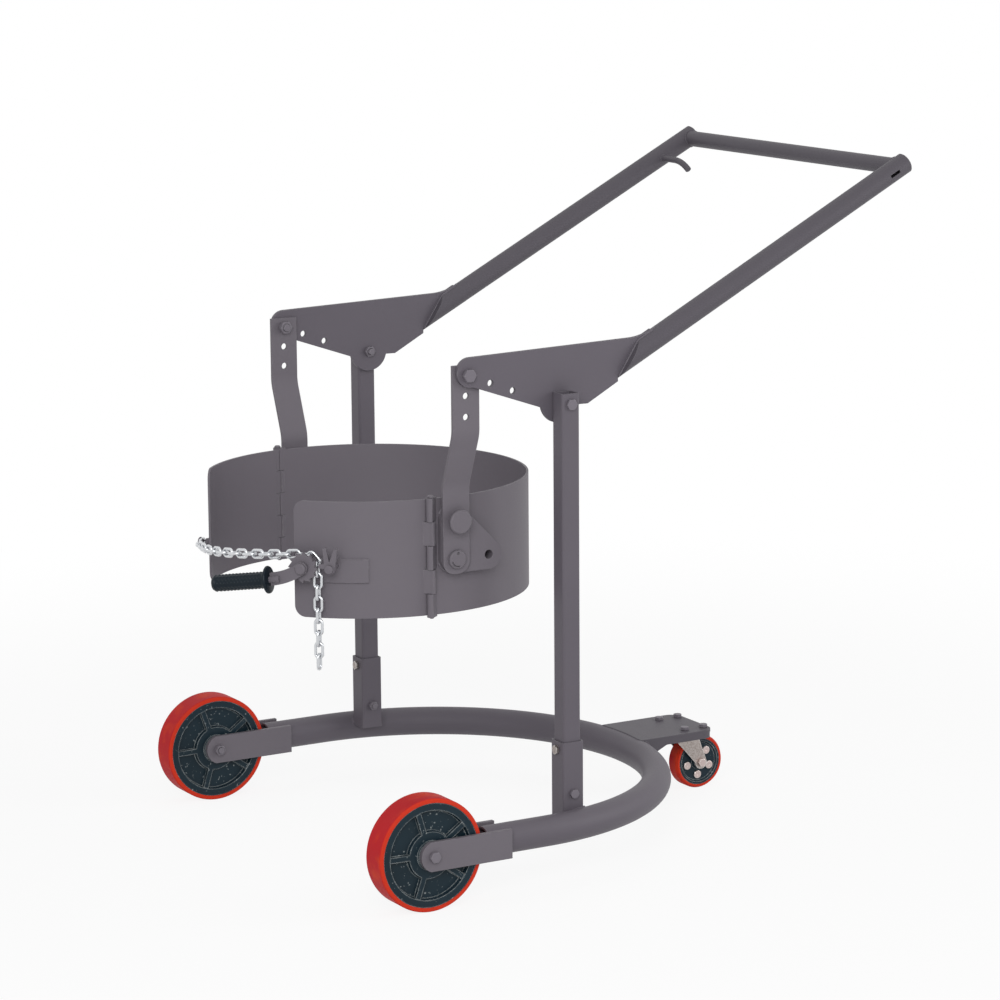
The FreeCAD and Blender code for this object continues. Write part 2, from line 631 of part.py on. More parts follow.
leg_in = s.caster_width / 2 + s.caster_hub_side + s.side_gap
leg_out = leg_in + s.fork_thickness
fork = body("caster_fork", at(caster_x, 0, 0))
crown = sketch(fork, "XY_Plane", "fork_crown", crown_top)
circle(crown, 0, 0, "Sizes.race_radius + Sizes.fork_thickness", "crown")
pad(fork, crown, "fork_crown_pad", "Sizes.fork_thickness", back=True)
king = sketch(fork, "XY_Plane", "fork_king", crown_top)
circle(king, 0, 0, "Sizes.king_pin / 2", "king")
pad(fork, king, "fork_king_pad", "Sizes.race_height + Sizes.caster_plate_t - Sizes.side_gap")
shoulder = crown_top - 4 * s.fork_thickness
foot_angle = math.atan2(s.caster_radius - shoulder, s.caster_trail)
for name, side in SIDES.items():
    leg = sketch(fork, "XZ_Plane", f"fork_leg_{name}", -side * (leg_in + leg_out) / 2)
    low = s.caster_radius
    trail = s.caster_trail
    front = -0.75 * s.race_radius
    rear = 0.95 * s.race_radius
    run(leg, [((front, crown_top), (front, shoulder)), ((front, shoulder), (trail - s.fork_foot, low)),
              ((trail - s.fork_foot, low), (trail, low - s.fork_foot), (trail + s.fork_foot, low)),
              ((trail + s.fork_foot, low), (rear, shoulder)), ((rear, shoulder), (rear, crown_top)),
              ((rear, crown_top), (front, crown_top))])
    circle(leg, trail, low, "Sizes.caster_bolt / 2 + Sizes.running_gap", "axle")
    pad(fork, leg, f"fork_leg_pad_{name}", "Sizes.fork_thickness", middle=True)
keep(fork, "caster_fork")

caster_hub_place = at(caster_x + s.caster_trail, 0, s.caster_radius)
group("caster_axle", [
    hex_bolt("caster_axle_bolt", caster_hub_place - RIGHT * leg_out, RIGHT, "caster_bolt",
             f"{2 * leg_out} + Sizes.caster_bolt"),
    hex_nut("caster_axle_nut", caster_hub_place + RIGHT * leg_out, RIGHT, "caster_bolt")])

core = s.caster_radius - s.caster_tread
half = s.caster_width / 2 + s.caster_hub_side
face = s.caster_width / 2 - 1
dish = s.caster_web / 2
bore = s.caster_bolt / 2 + s.running_gap
upper = [(core, face), (core - 5, face), (core - 8, dish), (s.caster_hub + 2, dish), (s.caster_hub, half),
         (bore, half)]
lower = [(radius, -height) for radius, height in reversed(upper)]
caster_centre = turning("caster_wheel_centre", lower + upper, caster_hub_place, RIGHT)
rivet_turns = [math.radians(72 * n + s.rivet_turn) for n in range(5)]
rivet_spots = [(s.rivet_ring * math.cos(turn), s.rivet_ring * math.sin(turn)) for turn in rivet_turns]
rivet_holes = sketch(caster_centre, "XY_Plane", "rivet_holes")
for index, (x, y) in enumerate(rivet_spots):
    circle(rivet_holes, x, y, "Sizes.rivet_shank / 2 + Sizes.running_gap", f"hole_{index}")
drill(caster_centre, rivet_holes, "rivet_drill")
keep(caster_centre, "caster_wheel_centre")
rivets = []
upper = [(s.rivet_shank / 2, dish), (s.rivet_head / 2, dish), (s.rivet_head / 2, dish + 2),
         (s.rivet_head / 2 - 1, dish + 3), (s.rivet_shank / 2, dish + 3), (0, dish + 2.4)]
lower = [(radius, -height) for radius, height in reversed(upper)]
for index, (x, y) in enumerate(rivet_spots):
    spot = caster_hub_place + turned(RIGHT).multVec(Vector(x, y, 0))
    rivets.append(turning(f"rivet_{index}", lower + upper, spot, RIGHT))
group("caster_rivets", rivets)
inner = core + s.running_gap / 2
half = s.caster_width / 2
upper = [(s.caster_radius, half - 5), (s.caster_radius - 3, half), (inner, half)]
lower = [(radius, -height) for radius, height in reversed(upper)]
keep(turning("caster_tread", lower + upper, caster_hub_place, RIGHT), "caster_tread")


# Posts, the sockets that hold them, and their fixings

socket_bolts = []
clamp_screws = []
pivot_bolts = []
pivot_nuts = []
bolt_z = socket_bottom + s.socket_bolt_rise
clamp_z = socket_bottom + s.socket_height - s.clamp_drop
for name, side in SIDES.items():
    place = at(post_x, side * post_y, 0)
    socket = body(f"socket_blank_{name}", place)
    square = sketch(socket, "XY_Plane", f"socket_square_{name}", socket_bottom)
    half = socket_side / 2
    rounded(square, -half, half, -half, half, s.socket_wall + 1)
    half = half - s.socket_wall
    rounded(square, -half, half, -half, half, 1)
    pad(socket, square, f"socket_pad_{name}", "Sizes.socket_height")
    bolt_hole = sketch(socket, "XZ_Plane", f"socket_hole_{name}")
    circle(bolt_hole, 0, bolt_z, "Sizes.socket_bolt / 2 + Sizes.running_gap", "hole")
    drill(socket, bolt_hole, f"socket_drill_{name}")
    screw_hole = sketch(socket, "YZ_Plane", f"clamp_hole_{name}")
    circle(screw_hole, 0, clamp_z, "Sizes.clamp_screw / 2 + Sizes.running_gap", "hole")
    drill(socket, screw_hole, f"clamp_drill_{name}", both=False)
    keep(cut(f"socket_{name}", socket, trim_ring), f"socket_{name}")

    post = body(f"post_{name}", place)
    square = sketch(post, "XY_Plane", f"post_square_{name}", bow_z + s.post_foot)
    half = s.post_side / 2
    rounded(square, -half, half, -half, half, s.post_wall + 2)
    half = half - s.post_wall
    rounded(square, -half, half, -half, half, 2)
    pad(post, square, f"post_pad_{name}", f"{pivot_z - bow_z} + Sizes.post_cap - Sizes.post_foot")
    holes = sketch(post, "XZ_Plane", f"post_holes_{name}")
    circle(holes, 0, pivot_z, "Sizes.pivot_bolt / 2 + Sizes.running_gap", "pivot")
    circle(holes, 0, bolt_z, "Sizes.socket_bolt / 2 + Sizes.running_gap", "fixing")
    drill(post, holes, f"post_drill_{name}")
    keep(post, f"post_{name}")

    inward = RIGHT * -side
    outer = side * (post_y + socket_side / 2)
    inner = side * (post_y - socket_side / 2)
    socket_bolts.append(hex_bolt(f"socket_bolt_{name}", at(post_x, outer, bolt_z), inward, "socket_bolt",
                                 f"{socket_side} + Sizes.socket_bolt"))
    socket_bolts.append(hex_nut(f"socket_nut_{name}", at(post_x, inner, bolt_z), inward, "socket_bolt"))
    clamp_screws.append(hex_bolt(
        f"clamp_screw_{name}", at(post_x - socket_side / 2, side * post_y, clamp_z), Vector(1, 0, 0),
        "clamp_screw", "Sizes.socket_wall + Sizes.side_gap / 2"))
    outer = post_y + s.post_side / 2
    pivot_bolts.append(hex_bolt(
        f"pivot_bolt_{name}", at(post_x, side * outer, pivot_z), inward, "pivot_bolt",
        f"{outer - plate_inner} + Sizes.pivot_bolt", head=0.45))
    pivot_nuts.append(hex_nut(f"pivot_nut_{name}", at(post_x, side * (plate_inner - s.side_gap), pivot_z),
                              inward, "pivot_bolt", height=0.6))
group("socket_bolts", socket_bolts)
group("clamp_screws", clamp_screws)
group("pivot_bolts", pivot_bolts)
group("pivot_nuts", pivot_nuts)


# Lifting lever: two plates, two slotted tubes, a crossbar and a peg

heel = tube_foot - across * half_tube
heel = heel + along * ((tube_foot.x - heel.x) / along.x)
tube_top = tube_foot + across * half_tube
tip_centre = Vector(s.tip_back, 0, hanger_z + s.tip_up)
tip_top = tip_centre + Vector(0, 0, s.tip_radius)
meet_z = tip_top.z + s.plate_rise
meet = tube_top + along * ((meet_z - tube_top.z) / along.z)
top_run = (meet - tip_top).normalize()
gusset_start = meet - top_run * s.gusset
gusset_end = meet + along * s.gusset
gusset_turn = math.acos(top_run.dot(along)) / 2
gusset_lift = s.gusset * (1 - math.cos(gusset_turn)) / math.sin(gusset_turn)
gusset_mid = meet + (along - top_run).normalize() * gusset_lift
tongue_high = gusset_end + along * s.tongue
tongue_low = tongue_high - across * s.handle_tube
slot_length = (tongue_low - heel).dot(along) + s.handle_tube + s.weld_gap


def about(centre_x, centre_z, radius, degrees):
    """A point on a circle in the plate's plane."""
    return (centre_x + radius * math.cos(math.radians(degrees)),
            centre_z + radius * math.sin(math.radians(degrees)))


def flat(point):
    """A point of the plate's plane as a pair."""
    return (point.x, point.z)


tip_front = about(tip_centre.x, tip_centre.z, s.tip_radius, 180)
tip_low = about(tip_centre.x, tip_centre.z, s.tip_radius, -80)
lobe_front = about(post_x, pivot_z, s.lobe_radius, 192)
lobe_low = about(post_x, pivot_z, s.lobe_radius, 270)
lobe_rear = about(post_x, pivot_z, s.lobe_radius, 348)
notch = (post_x + s.notch_back, pivot_z - s.notch_drop)
step = (heel.x, heel.z - s.heel_step)
for name, side in SIDES.items():
    lever = body(f"lever_plate_{name}", at(0, side * plate_y, 0))
    outline = sketch(lever, "XZ_Plane", f"lever_outline_{name}")
    run(outline, [
        (flat(tip_top), tip_front, tip_low), (tip_low, lobe_front),
        (lobe_front, lobe_low, lobe_rear), (lobe_rear, notch), (notch, step), (step, flat(heel)),
        (flat(heel), flat(tongue_low)), (flat(tongue_low), flat(tongue_high)),
        (flat(tongue_high), flat(gusset_end)), (flat(gusset_end), flat(gusset_mid), flat(gusset_start)),
        (flat(gusset_start), flat(tip_top))])
    circle(outline, 0, hanger_z, "Sizes.hanger_bolt / 2 + Sizes.running_gap", "hanger")
    circle(outline, post_x, pivot_z, "Sizes.pivot_bolt / 2 + Sizes.running_gap", "pivot")
    for place in (1, 2):
        x, z = about(0, hanger_z, place * s.spare_pitch, -s.spare_fall)
        circle(outline, x, z, "Sizes.spare_hole / 2", f"spare_{place}")
    pad(lever, outline, f"lever_pad_{name}", "Sizes.plate_thickness", middle=True)
    keep(lever, f"lever_plate_{name}")

    slant = Rotation(RIGHT, -handle_angle)
    start = tube_foot - along * s.handle_tube
    tube_length = (crossbar - start).Length + s.handle_overhang
    place = at(start.x, side * plate_y, start.z)
    skin = add("Part::Cylinder", f"tube_skin_{name}", place, turned(along),
               Radius="Sizes.handle_tube / 2", Height=tube_length)
    bore = add("Part::Cylinder", f"tube_bore_{name}", place, turned(along),
               Radius="Sizes.handle_tube / 2 - Sizes.handle_wall", Height=tube_length)
    bevel = Rotation(RIGHT, -s.bevel_angle)
    mitres = []
    for layer, depth in (("outer", 0), ("inner", s.handle_wall)):
        corner_point = heel - bevel.multVec(Vector(2 * s.handle_tube, 0, depth))
        mitres.append(add(
            "Part::Box", f"tube_mitre_{name}_{layer}",
            at(corner_point.x, side * plate_y - half_tube - 1, corner_point.z), bevel,
            Length="Sizes.handle_tube * 6", Width="Sizes.handle_tube + 2", Height="Sizes.handle_tube * 4"))
    hollow = cut(f"tube_hollow_{name}", bore, mitres[1])
    slot_start = heel - across * half_tube - along * s.handle_tube
    slot = add("Part::Box", f"tube_slot_{name}",
               at(slot_start.x, side * plate_y - s.plate_thickness / 2 - s.weld_gap, slot_start.z), slant,
               Length=slot_length,
               Width="Sizes.plate_thickness + 2 * Sizes.weld_gap", Height="Sizes.handle_tube * 2")
    tools = [hollow, mitres[0], slot]
    if side < 0:
        eye = crossbar - along * (s.eye_length + s.eye_width * 2) - across * (s.eye_width / 2)
        tools.append(add("Part::Box", "tube_eye", at(eye.x, -plate_y - half_tube - 1, eye.z), slant,
                         Length="Sizes.eye_length", Width="Sizes.handle_tube / 4",
                         Height="Sizes.eye_width"))
    keep(cut(f"handle_tube_{name}", skin, fuse(f"tube_tools_{name}", tools)), f"handle_tube_{name}")

place = at(crossbar.x, -plate_y, crossbar.z)
bar_skin = add("Part::Cylinder", "bar_skin", place, turned(RIGHT), Radius="Sizes.crossbar_tube / 2",
               Height=2 * plate_y)
bar_tools = [add("Part::Cylinder", "bar_hollow", place, turned(RIGHT),
                 Radius="Sizes.crossbar_tube / 2 - Sizes.handle_wall", Height=2 * plate_y)]
caps = []
plug = half_tube - s.handle_wall - s.running_gap / 2
for name, side in SIDES.items():
    low = crossbar - along * (2 * s.handle_tube)
    bar_tools.append(add("Part::Cylinder", f"bar_cope_{name}", at(low.x, side * plate_y, low.z),
                         turned(along), Radius="Sizes.handle_tube / 2 + Sizes.weld_gap",
                         Height="Sizes.handle_tube * 4"))
    tip = crossbar + along * s.handle_overhang
    caps.append(turning(f"cap_{name}", [
        (0, -plug), (plug, -plug), (plug, 0), (half_tube, 0), (half_tube - 2, s.handle_wall * 0.7),
        (half_tube - 8, s.handle_wall), (0, s.handle_wall)], at(tip.x, side * plate_y, tip.z), along))
keep(cut("handle_crossbar", bar_skin, fuse("bar_tools", bar_tools)), "handle_crossbar")
group("handle_caps", caps)

peg_spot = crossbar - along * s.peg_set
peg = body("handle_peg", at(peg_spot.x, plate_y - half_tube - s.weld_gap, peg_spot.z))
peg_straight = s.peg_length * 0.45
peg_bend = (s.peg_length - peg_straight) / math.sin(math.radians(s.peg_turn))
peg_path = sketch(peg, "YZ_Plane", "peg_path")
run(peg_path, [((0, 0), (-peg_straight, 0)),
               tuple(about(-peg_straight, -peg_bend, peg_bend, 90 + s.peg_turn * share)
                     for share in (0, 0.5, 1))], closed=False)
peg_round = sketch(peg, "XZ_Plane", "peg_round")
circle(peg_round, 0, 0, "Sizes.peg_diameter / 2", "rod")
pipe(peg, peg_round, peg_path, 2, "peg_pipe")
keep(peg, "handle_peg")


# Hanger arms with the lock plungers

hanger_bolts = []
trunnions = []
sleeves = []
arm_low = trunnion_z - s.arm_width / 2
arm_high = hanger_z + s.arm_head
top_y = arm_outer - s.arm_thickness / 2
foot_y = arm_foot + s.arm_thickness / 2
wide = 2 * s.joggle_bend - s.joggle
bend = math.atan2(s.joggle_height, wide) - math.acos(2 * s.joggle_bend / math.hypot(s.joggle_height, wide))


def arm_line(offset, side):
    """One long edge of the arm's section, that far outside its middle, from top to bottom."""
    def upper(turn):
        radius = s.joggle_bend + offset
        y = top_y - s.joggle_bend + radius * math.cos(turn)
        return (side * y, joggle_top - radius * math.sin(turn))

    def lower(turn):
        radius = s.joggle_bend - offset
        y = foot_y + s.joggle_bend - radius * math.cos(turn)
        return (side * y, joggle_bottom + radius * math.sin(turn))

    top = (side * (top_y + offset), arm_high)
    foot = (side * (foot_y + offset), arm_low)
    return [(top, upper(0)), (upper(0), upper(bend / 2), upper(bend)), (upper(bend), lower(bend)),
            (lower(bend), lower(bend / 2), lower(0)), (lower(0), foot)]


for name, side in SIDES.items():
    arm = body(f"arm_{name}", at(0, 0, 0))
    section = sketch(arm, "YZ_Plane", f"arm_strip_{name}")
    outside = arm_line(s.arm_thickness / 2, side)
    inside = [edge[::-1] for edge in reversed(arm_line(-s.arm_thickness / 2, side))]
    run(section, outside + [(outside[-1][-1], inside[0][0])] + inside + [(inside[-1][-1], outside[0][0])])
    pad(arm, section, f"arm_pad_{name}", "Sizes.arm_width", middle=True)
    holes = sketch(arm, "XZ_Plane", f"arm_holes_{name}")
    circle(holes, 0, hanger_z, "Sizes.hanger_bolt / 2 + Sizes.running_gap", "hanger")
    circle(holes, 0, hanger_z - s.arm_pitch, "Sizes.spare_hole / 2", "spare_1")
    circle(holes, 0, hanger_z - 2 * s.arm_pitch, "Sizes.spare_hole / 2", "spare_2")
    circle(holes, 0, trunnion_z, "Sizes.trunnion_pin / 2 + Sizes.running_gap", "trunnion")
    circle(holes, 0, lock_z, "Sizes.lock_pin / 2 + Sizes.running_gap", "lock")
    arm_drill = drill(arm, holes, f"arm_drill_{name}")
    doc.recompute()
    corners = []
    for index, edge in enumerate(arm_drill.Shape.Edges, start=1):
        box = edge.BoundBox
        if max(box.XLength, box.ZLength, abs(box.ZMin - arm_low)) < 0.01:
            corners.append(f"Edge{index}")
    rounding = arm.newObject("PartDesign::Fillet", f"arm_round_{name}")
    rounding.Base = (arm_drill, corners)
    rounding.setExpression("Radius", "Sizes.arm_width * 0.42")
    keep(arm, f"arm_{name}")

    inward = RIGHT * -side
    outward = RIGHT * side
    hanger_bolts.append(hex_bolt(
        f"hanger_bolt_{name}", at(0, side * plate_outer, hanger_z), inward, "hanger_bolt",
        f"{plate_outer - arm_top_in} + Sizes.hanger_bolt"))
    hanger_bolts.append(hex_nut(f"hanger_nut_{name}", at(0, side * (arm_top_in - s.side_gap), hanger_z),
                                inward, "hanger_bolt"))
    pin = s.trunnion_pin / 2
    rim = pin + s.trunnion_rim
    low = band_outer + s.weld_gap
    face = arm_foot_out + s.side_gap
    trunnions.append(turning(f"trunnion_{name}", [
        (0, low), (pin, low), (pin, face), (rim, face), (rim, face + 4), (rim - 2, face + 6), (0, face + 6)],
        at(0, 0, trunnion_z), outward))
    pin = s.lock_pin / 2
    top = arm_foot_out + s.lock_sleeve
    sleeves.append(turning(f"lock_sleeve_{name}", [
        (pin + s.running_gap, arm_foot_out), (pin + 6, arm_foot_out), (pin + 6, top - 1), (pin + 5, top),
        (pin + s.running_gap, top)], at(0, 0, lock_z), outward))
    tip = boss_face + s.side_gap
    seat = top + s.side_gap + s.lock_stroke
    knob = s.lock_knob / 2
    keep(turning(f"lock_plunger_{name}", [
        (0, tip), (pin - 1.5, tip), (pin, tip + 1.5), (pin, seat), (knob - 2, seat), (knob, seat + 2),
        (knob, seat + 5), (knob - 2, seat + 7), (0, seat + 7)], at(0, 0, lock_z), outward),
        f"lock_plunger_{name}")
group("hanger_bolts", hanger_bolts)
group("trunnion_pins", trunnions)
group("lock_sleeves", sleeves)


# Cradle: a saddle with three hinge knuckles a side, bosses and hinge pins

hinge_low = band_bottom - s.hinge_over
knuckle_pitch = (s.band_height + 2 * s.hinge_over) / 5


def knuckles(owner, label, side, plate_angle, first, count):
    """Hinge knuckles with their leaves, at every second place up the hinge."""
    shape = sketch(owner, "XY_Plane", f"knuckle_{label}", hinge_low + first * knuckle_pitch + s.side_gap / 2)
    axis = ring(hinge_ring, hinge_angle, 0, side)
    radial = ring(1, hinge_angle, 0, side)
    seat = plate_angle + (0.8 if plate_angle > hinge_angle else -0.8)
    outer = ring(band_outer, seat, 0, side)
    inner = ring(s.band_radius, seat, 0, side)
    leaf = (outer - axis).normalize()
    back = axis + (axis - (outer + inner) * 0.5).normalize() * s.knuckle_radius
    high = axis + radial * s.knuckle_radius
    low = axis - radial * s.knuckle_radius
    knee = axis + (radial * 0.62 + leaf * 0.5) * s.knuckle_radius
    outer, knee, high, back, low, inner = [(p.x, p.y) for p in (outer, knee, high, back, low, inner)]
    run(shape, [(outer, knee), (knee, high), (high, back, low), (low, inner), (inner, outer)])
    one = pad(owner, shape, f"knuckle_pad_{label}", f"{knuckle_pitch} - Sizes.side_gap")
    rows = owner.newObject("PartDesign::LinearPattern", f"knuckle_rows_{label}")
    rows.Originals = [one]
    rows.Direction = (shape, ["N_Axis"])
    rows.Length = 2 * knuckle_pitch * (count - 1)
    rows.Occurrences = count
    owner.Tip = rows
    hole = sketch(owner, "XY_Plane", f"knuckle_bore_{label}")
    circle(hole, axis.x, axis.y, "Sizes.hinge_pin / 2 + Sizes.running_gap", "bore")
    drill(owner, hole, f"knuckle_drill_{label}")


saddle = body("saddle", cradle(Vector()))
saddle_ring = sketch(saddle, "XY_Plane", "saddle_ring", band_bottom)
saddle_edge = hinge_angle + hinge_gap
sector(saddle_ring, s.band_radius, band_outer, saddle_edge, 360 - saddle_edge)
pad(saddle, saddle_ring, "saddle_pad", "Sizes.band_height")
hinge_pins = []
for name, side in SIDES.items():
    knuckles(saddle, f"saddle_{name}", side, saddle_edge, 0, 3)
    spot = ring(hinge_ring, hinge_angle, hinge_low, side)
    pin = s.hinge_pin / 2
    top = 5 * knuckle_pitch
    hinge_pins.append(turning(f"hinge_pin_{name}", [
        (0, -2), (pin - 1, -2), (pin, -1), (pin, top + s.side_gap), (pin + 2, top + s.side_gap),
        (pin + 2, top + 2), (pin, top + 4), (0, top + 4)], cradle(spot), UP))
keep(saddle, "saddle")
group("hinge_pins", hinge_pins)

bosses = []
for name, side in SIDES.items():
    boss = body(f"boss_{name}", at(0, side * boss_face, 0))
    outline = sketch(boss, "XZ_Plane", f"boss_outline_{name}")
    r = s.boss_radius
    p = s.lock_pitch
    run(outline, [
        tuple(about(0, trunnion_z, r, turn) for turn in (180, 225, 270)),
        ((0, trunnion_z - r), (p, trunnion_z - r)),
        tuple(about(p, trunnion_z, r, turn) for turn in (270, 330, 405)),
        (about(p, trunnion_z, r, 405), about(0, lock_z, r, 45)),
        tuple(about(0, lock_z, r, turn) for turn in (45, 120, 180)),
        ((-r, lock_z), (-r, trunnion_z))])
    circle(outline, 0, trunnion_z, "Sizes.trunnion_pin / 2 + Sizes.running_gap / 2", "trunnion")
    circle(outline, 0, lock_z, "Sizes.lock_pin / 2 + Sizes.running_gap", "upright")
    circle(outline, p, trunnion_z, "Sizes.lock_pin / 2 + Sizes.running_gap", "level")
    depth = boss_face - math.sqrt(band_outer ** 2 - (p + r + s.band_lead) ** 2) + 2 * s.band_wall
    pad(boss, outline, f"boss_pad_{name}", str(depth), back=side < 0)
    hollow = sketch(boss, "XY_Plane", f"boss_back_{name}")
    circle(hollow, -s.band_lead, -side * boss_face, f"{band_outer} + Sizes.weld_gap", "band")
    drill(boss, hollow, f"boss_cut_{name}")
    bosses.append(boss)
group("side_bosses", bosses)


# Flaps with the ratchet on the left one and the chain anchor on the right one

flap_edge = hinge_angle - hinge_gap
for name, side in SIDES.items():
    flap = body(f"flap_{name}", cradle(Vector()))
    shape = sketch(flap, "XY_Plane", f"flap_ring_{name}", band_bottom)
    sector(shape, s.band_radius, band_outer, s.tip_angle, flap_edge, side)
    flap_pad = pad(flap, shape, f"flap_pad_{name}", "Sizes.band_height")
    doc.recompute()
    tip = ring((s.band_radius + band_outer) / 2, s.tip_angle, 0, side)
    corners = []
    for index, edge in enumerate(flap_pad.Shape.Edges, start=1):
        middle = edge.BoundBox.Center
        if edge.BoundBox.ZLength < 0.01 and math.hypot(middle.x - tip.x, middle.y - tip.y) < 0.1:
            corners.append(f"Edge{index}")
    soft = flap.newObject("PartDesign::Fillet", f"flap_corners_{name}")
    soft.Base = (flap_pad, corners)
    soft.setExpression("Radius", "Sizes.flap_corner")
    knuckles(flap, f"flap_{name}", side, flap_edge, 1, 2)
    keep(flap, f"flap_{name}")

ratchet_turn = Rotation(ratchet_aside, UP, ratchet_out, "ZXY")
ratchet_foot = cradle(ring(band_outer, ratchet_angle, ratchet_z))
pawl_foot = ratchet_foot + ratchet_aside * s.pawl_reach

base = body("ratchet_base_blank", cradle(Vector()))
base_ring = sketch(base, "XY_Plane", "ratchet_base_ring", ratchet_z - s.base_drop)
sector(base_ring, band_outer + s.weld_gap, band_outer + base_top,
       ratchet_angle - math.degrees(s.base_before / band_outer),
       ratchet_angle + math.degrees(s.base_behind / band_outer))
pad(base, base_ring, "ratchet_base_pad", "Sizes.base_height")
base_bores = [
    add("Part::Cylinder", "ratchet_axle_bore", ratchet_foot - ratchet_out * s.pawl_reach, ratchet_turn,
        Radius="Sizes.ratchet_pin / 2 + Sizes.running_gap / 2", Height="Sizes.pawl_reach * 2"),
    add("Part::Cylinder", "pawl_pin_bore", pawl_foot - ratchet_out * s.pawl_reach, ratchet_turn,
        Radius="Sizes.pawl_pin / 2 + Sizes.running_gap / 2", Height="Sizes.pawl_reach * 2")]
keep(cut("ratchet_base", base, fuse("ratchet_bores", base_bores)), "ratchet_base")

pin = s.ratchet_pin / 2
keep(turning("ratchet_axle", [
    (0, s.weld_gap), (pin, s.weld_gap), (pin, head_low), (pin + 3.5, head_low), (pin + 3.5, head_low + 4),
    (pin + 1.5, head_low + 6), (0, head_low + 6)], ratchet_foot, ratchet_out), "ratchet_axle")

bore = pin + s.running_gap
flange = s.chain_bend - s.chain_wire / 2 - 2 * s.side_gap
core = s.chain_bend - chain_width / 2 - 3
keep(turning("chain_wheel", [
    (bore, spool_low), (flange, spool_low), (flange, spool_low + 1), (flange - 2, spool_groove),
    (core, spool_groove + 2), (core, gear_low - s.weld_gap), (bore, gear_low - s.weld_gap)],
    ratchet_foot, ratchet_out), "chain_wheel")

gear = body("ratchet_gear", ratchet_foot, ratchet_turn)
gear_outline = sketch(gear, "XY_Plane", "ratchet_teeth", gear_low)
teeth = int(s.ratchet_teeth)
points = []
for tooth in range(teeth):
    turn = 360 * tooth / teeth
    points.append(about(0, 0, s.ratchet_radius, turn))
    points.append(about(0, 0, s.ratchet_radius - s.tooth_depth, turn + 3.5))
polygon(gear_outline, points)
circle(gear_outline, 0, 0, "Sizes.ratchet_pin / 2 + Sizes.running_gap", "bore")
pad(gear, gear_outline, "ratchet_gear_pad", "Sizes.gear_thickness")
keep(gear, "ratchet_gear")

droop_turn = ratchet_turn.multiply(Rotation(UP, 180 + s.lever_droop))
bar = body("ratchet_lever", ratchet_foot, droop_turn)
bar_outline = sketch(bar, "XY_Plane", "ratchet_lever_outline", lever_low)
half = s.lever_width / 2
curve = (s.lever_reach ** 2 + s.lever_crank ** 2) / (2 * s.lever_crank)
sweep = math.degrees(math.asin(s.lever_reach / curve))


def bar_edge(radius):
    """One long edge of the lever's curved bar, from the pivot to the grip."""
    return tuple(about(s.lever_reach, s.lever_crank - curve, radius, 90 + sweep * share)
                 for share in (1, 0.5, 0))


outside = bar_edge(curve + half)
inside = bar_edge(curve - half)
run(bar_outline, [
    (inside[0], about(0, 0, half, 180 + sweep), outside[0]), outside, (outside[-1], inside[-1]),
    inside[::-1]])
circle(bar_outline, 0, 0, "Sizes.ratchet_pin / 2 + Sizes.running_gap", "bore")
pad(bar, bar_outline, "ratchet_lever_pad", "Sizes.lever_bar")
rod = sketch(bar, "YZ_Plane", "ratchet_rod", s.lever_reach - 1.5 * s.lever_rod)
circle(rod, s.lever_crank, grip_high, "Sizes.lever_rod / 2", "rod")
pad(bar, rod, "ratchet_rod_pad", "Sizes.grip_length + Sizes.lever_rod")
keep(bar, "ratchet_lever")

grip_seat = Vector(s.lever_reach + s.side_gap, s.lever_crank, grip_high)
grip_start = ratchet_foot + droop_turn.multVec(grip_seat)
grip = s.grip_diameter / 2
rim = grip + s.grip_flange
bore = s.lever_rod / 2 + s.running_gap / 2
end = s.grip_length - s.side_gap
keep(turning("ratchet_grip", [
    (bore, 0), (rim - 1, 0), (rim, 2), (rim, 4), (grip + 1, 7), (grip - 1, 14), (grip - 1, end - 10),
    (grip, end - 6), (grip - 3, end), (0, end), (0, end - 4), (bore, end - 4)],
    grip_start, droop_turn.multVec(Vector(1, 0, 0))), "ratchet_grip")

pin = s.pawl_pin / 2
sunk = band_outer - math.sqrt(band_outer ** 2 - s.pawl_reach ** 2) - 2
keep(turning("pawl_pin", [
    (0, s.side_gap - sunk), (pin, s.side_gap - sunk), (pin, lever_low), (pin + 3, lever_low),
    (pin + 3, lever_low + 3), (0, lever_low + 4)], pawl_foot, ratchet_out), "pawl_pin")
pawl = body("pawl", pawl_foot, ratchet_turn)
pawl_outline = sketch(pawl, "XY_Plane", "pawl_outline", gear_low)
eye = pin + 5
nose = s.ratchet_radius + 1.2 - s.pawl_reach
run(pawl_outline, [
    ((eye, 0), (0, -eye), (-eye, 0)), ((-eye, 0), (nose, 1)), ((nose, 1), (nose + 1, 7)),
    ((nose + 1, 7), (-eye, 9)), ((-eye, 9), (-12, s.pawl_height)),
    ((-12, s.pawl_height), (-6, s.pawl_height)),
    ((-6, s.pawl_height), (0, eye + 2)), ((0, eye + 2), (9, s.pawl_height)),
    ((9, s.pawl_height), (15, s.pawl_height)), ((15, s.pawl_height), (eye, 0))])
circle(pawl_outline, 0, 0, "Sizes.pawl_pin / 2 + Sizes.running_gap", "bore")
pad(pawl, pawl_outline, "pawl_pad", "Sizes.gear_thickness")
keep(pawl, "pawl")


# Chain: separate closed links along the taut route from the anchor, round the front, over the
# chain wheel and down. Every second link is turned a quarter about the run of the chain.
# The links bear on each other at the wire ends of those that stand across the chain wheel, so
# that a sharp bend keeps the play between two links.

chain_z = ratchet_z + s.chain_bend
chain_radius = s.band_radius + chain_width / 2 + s.chain_gap
wheel_ring = band_outer + (spool_groove + gear_low) / 2
cross_step = s.chain_inside + s.chain_wire
plane_step = 2 * (s.chain_inside - s.chain_slack) - cross_step


def chain_swing(degrees):
    """Radius of the chain at an angle from the nose: close in front, lifted over the flaps."""
    part = max(0, (abs(degrees) - s.chain_lift_angle) / (ratchet_angle - s.chain_lift_angle))
    return chain_radius + (wheel_ring - chain_radius) * part * part * (3 - 2 * part)


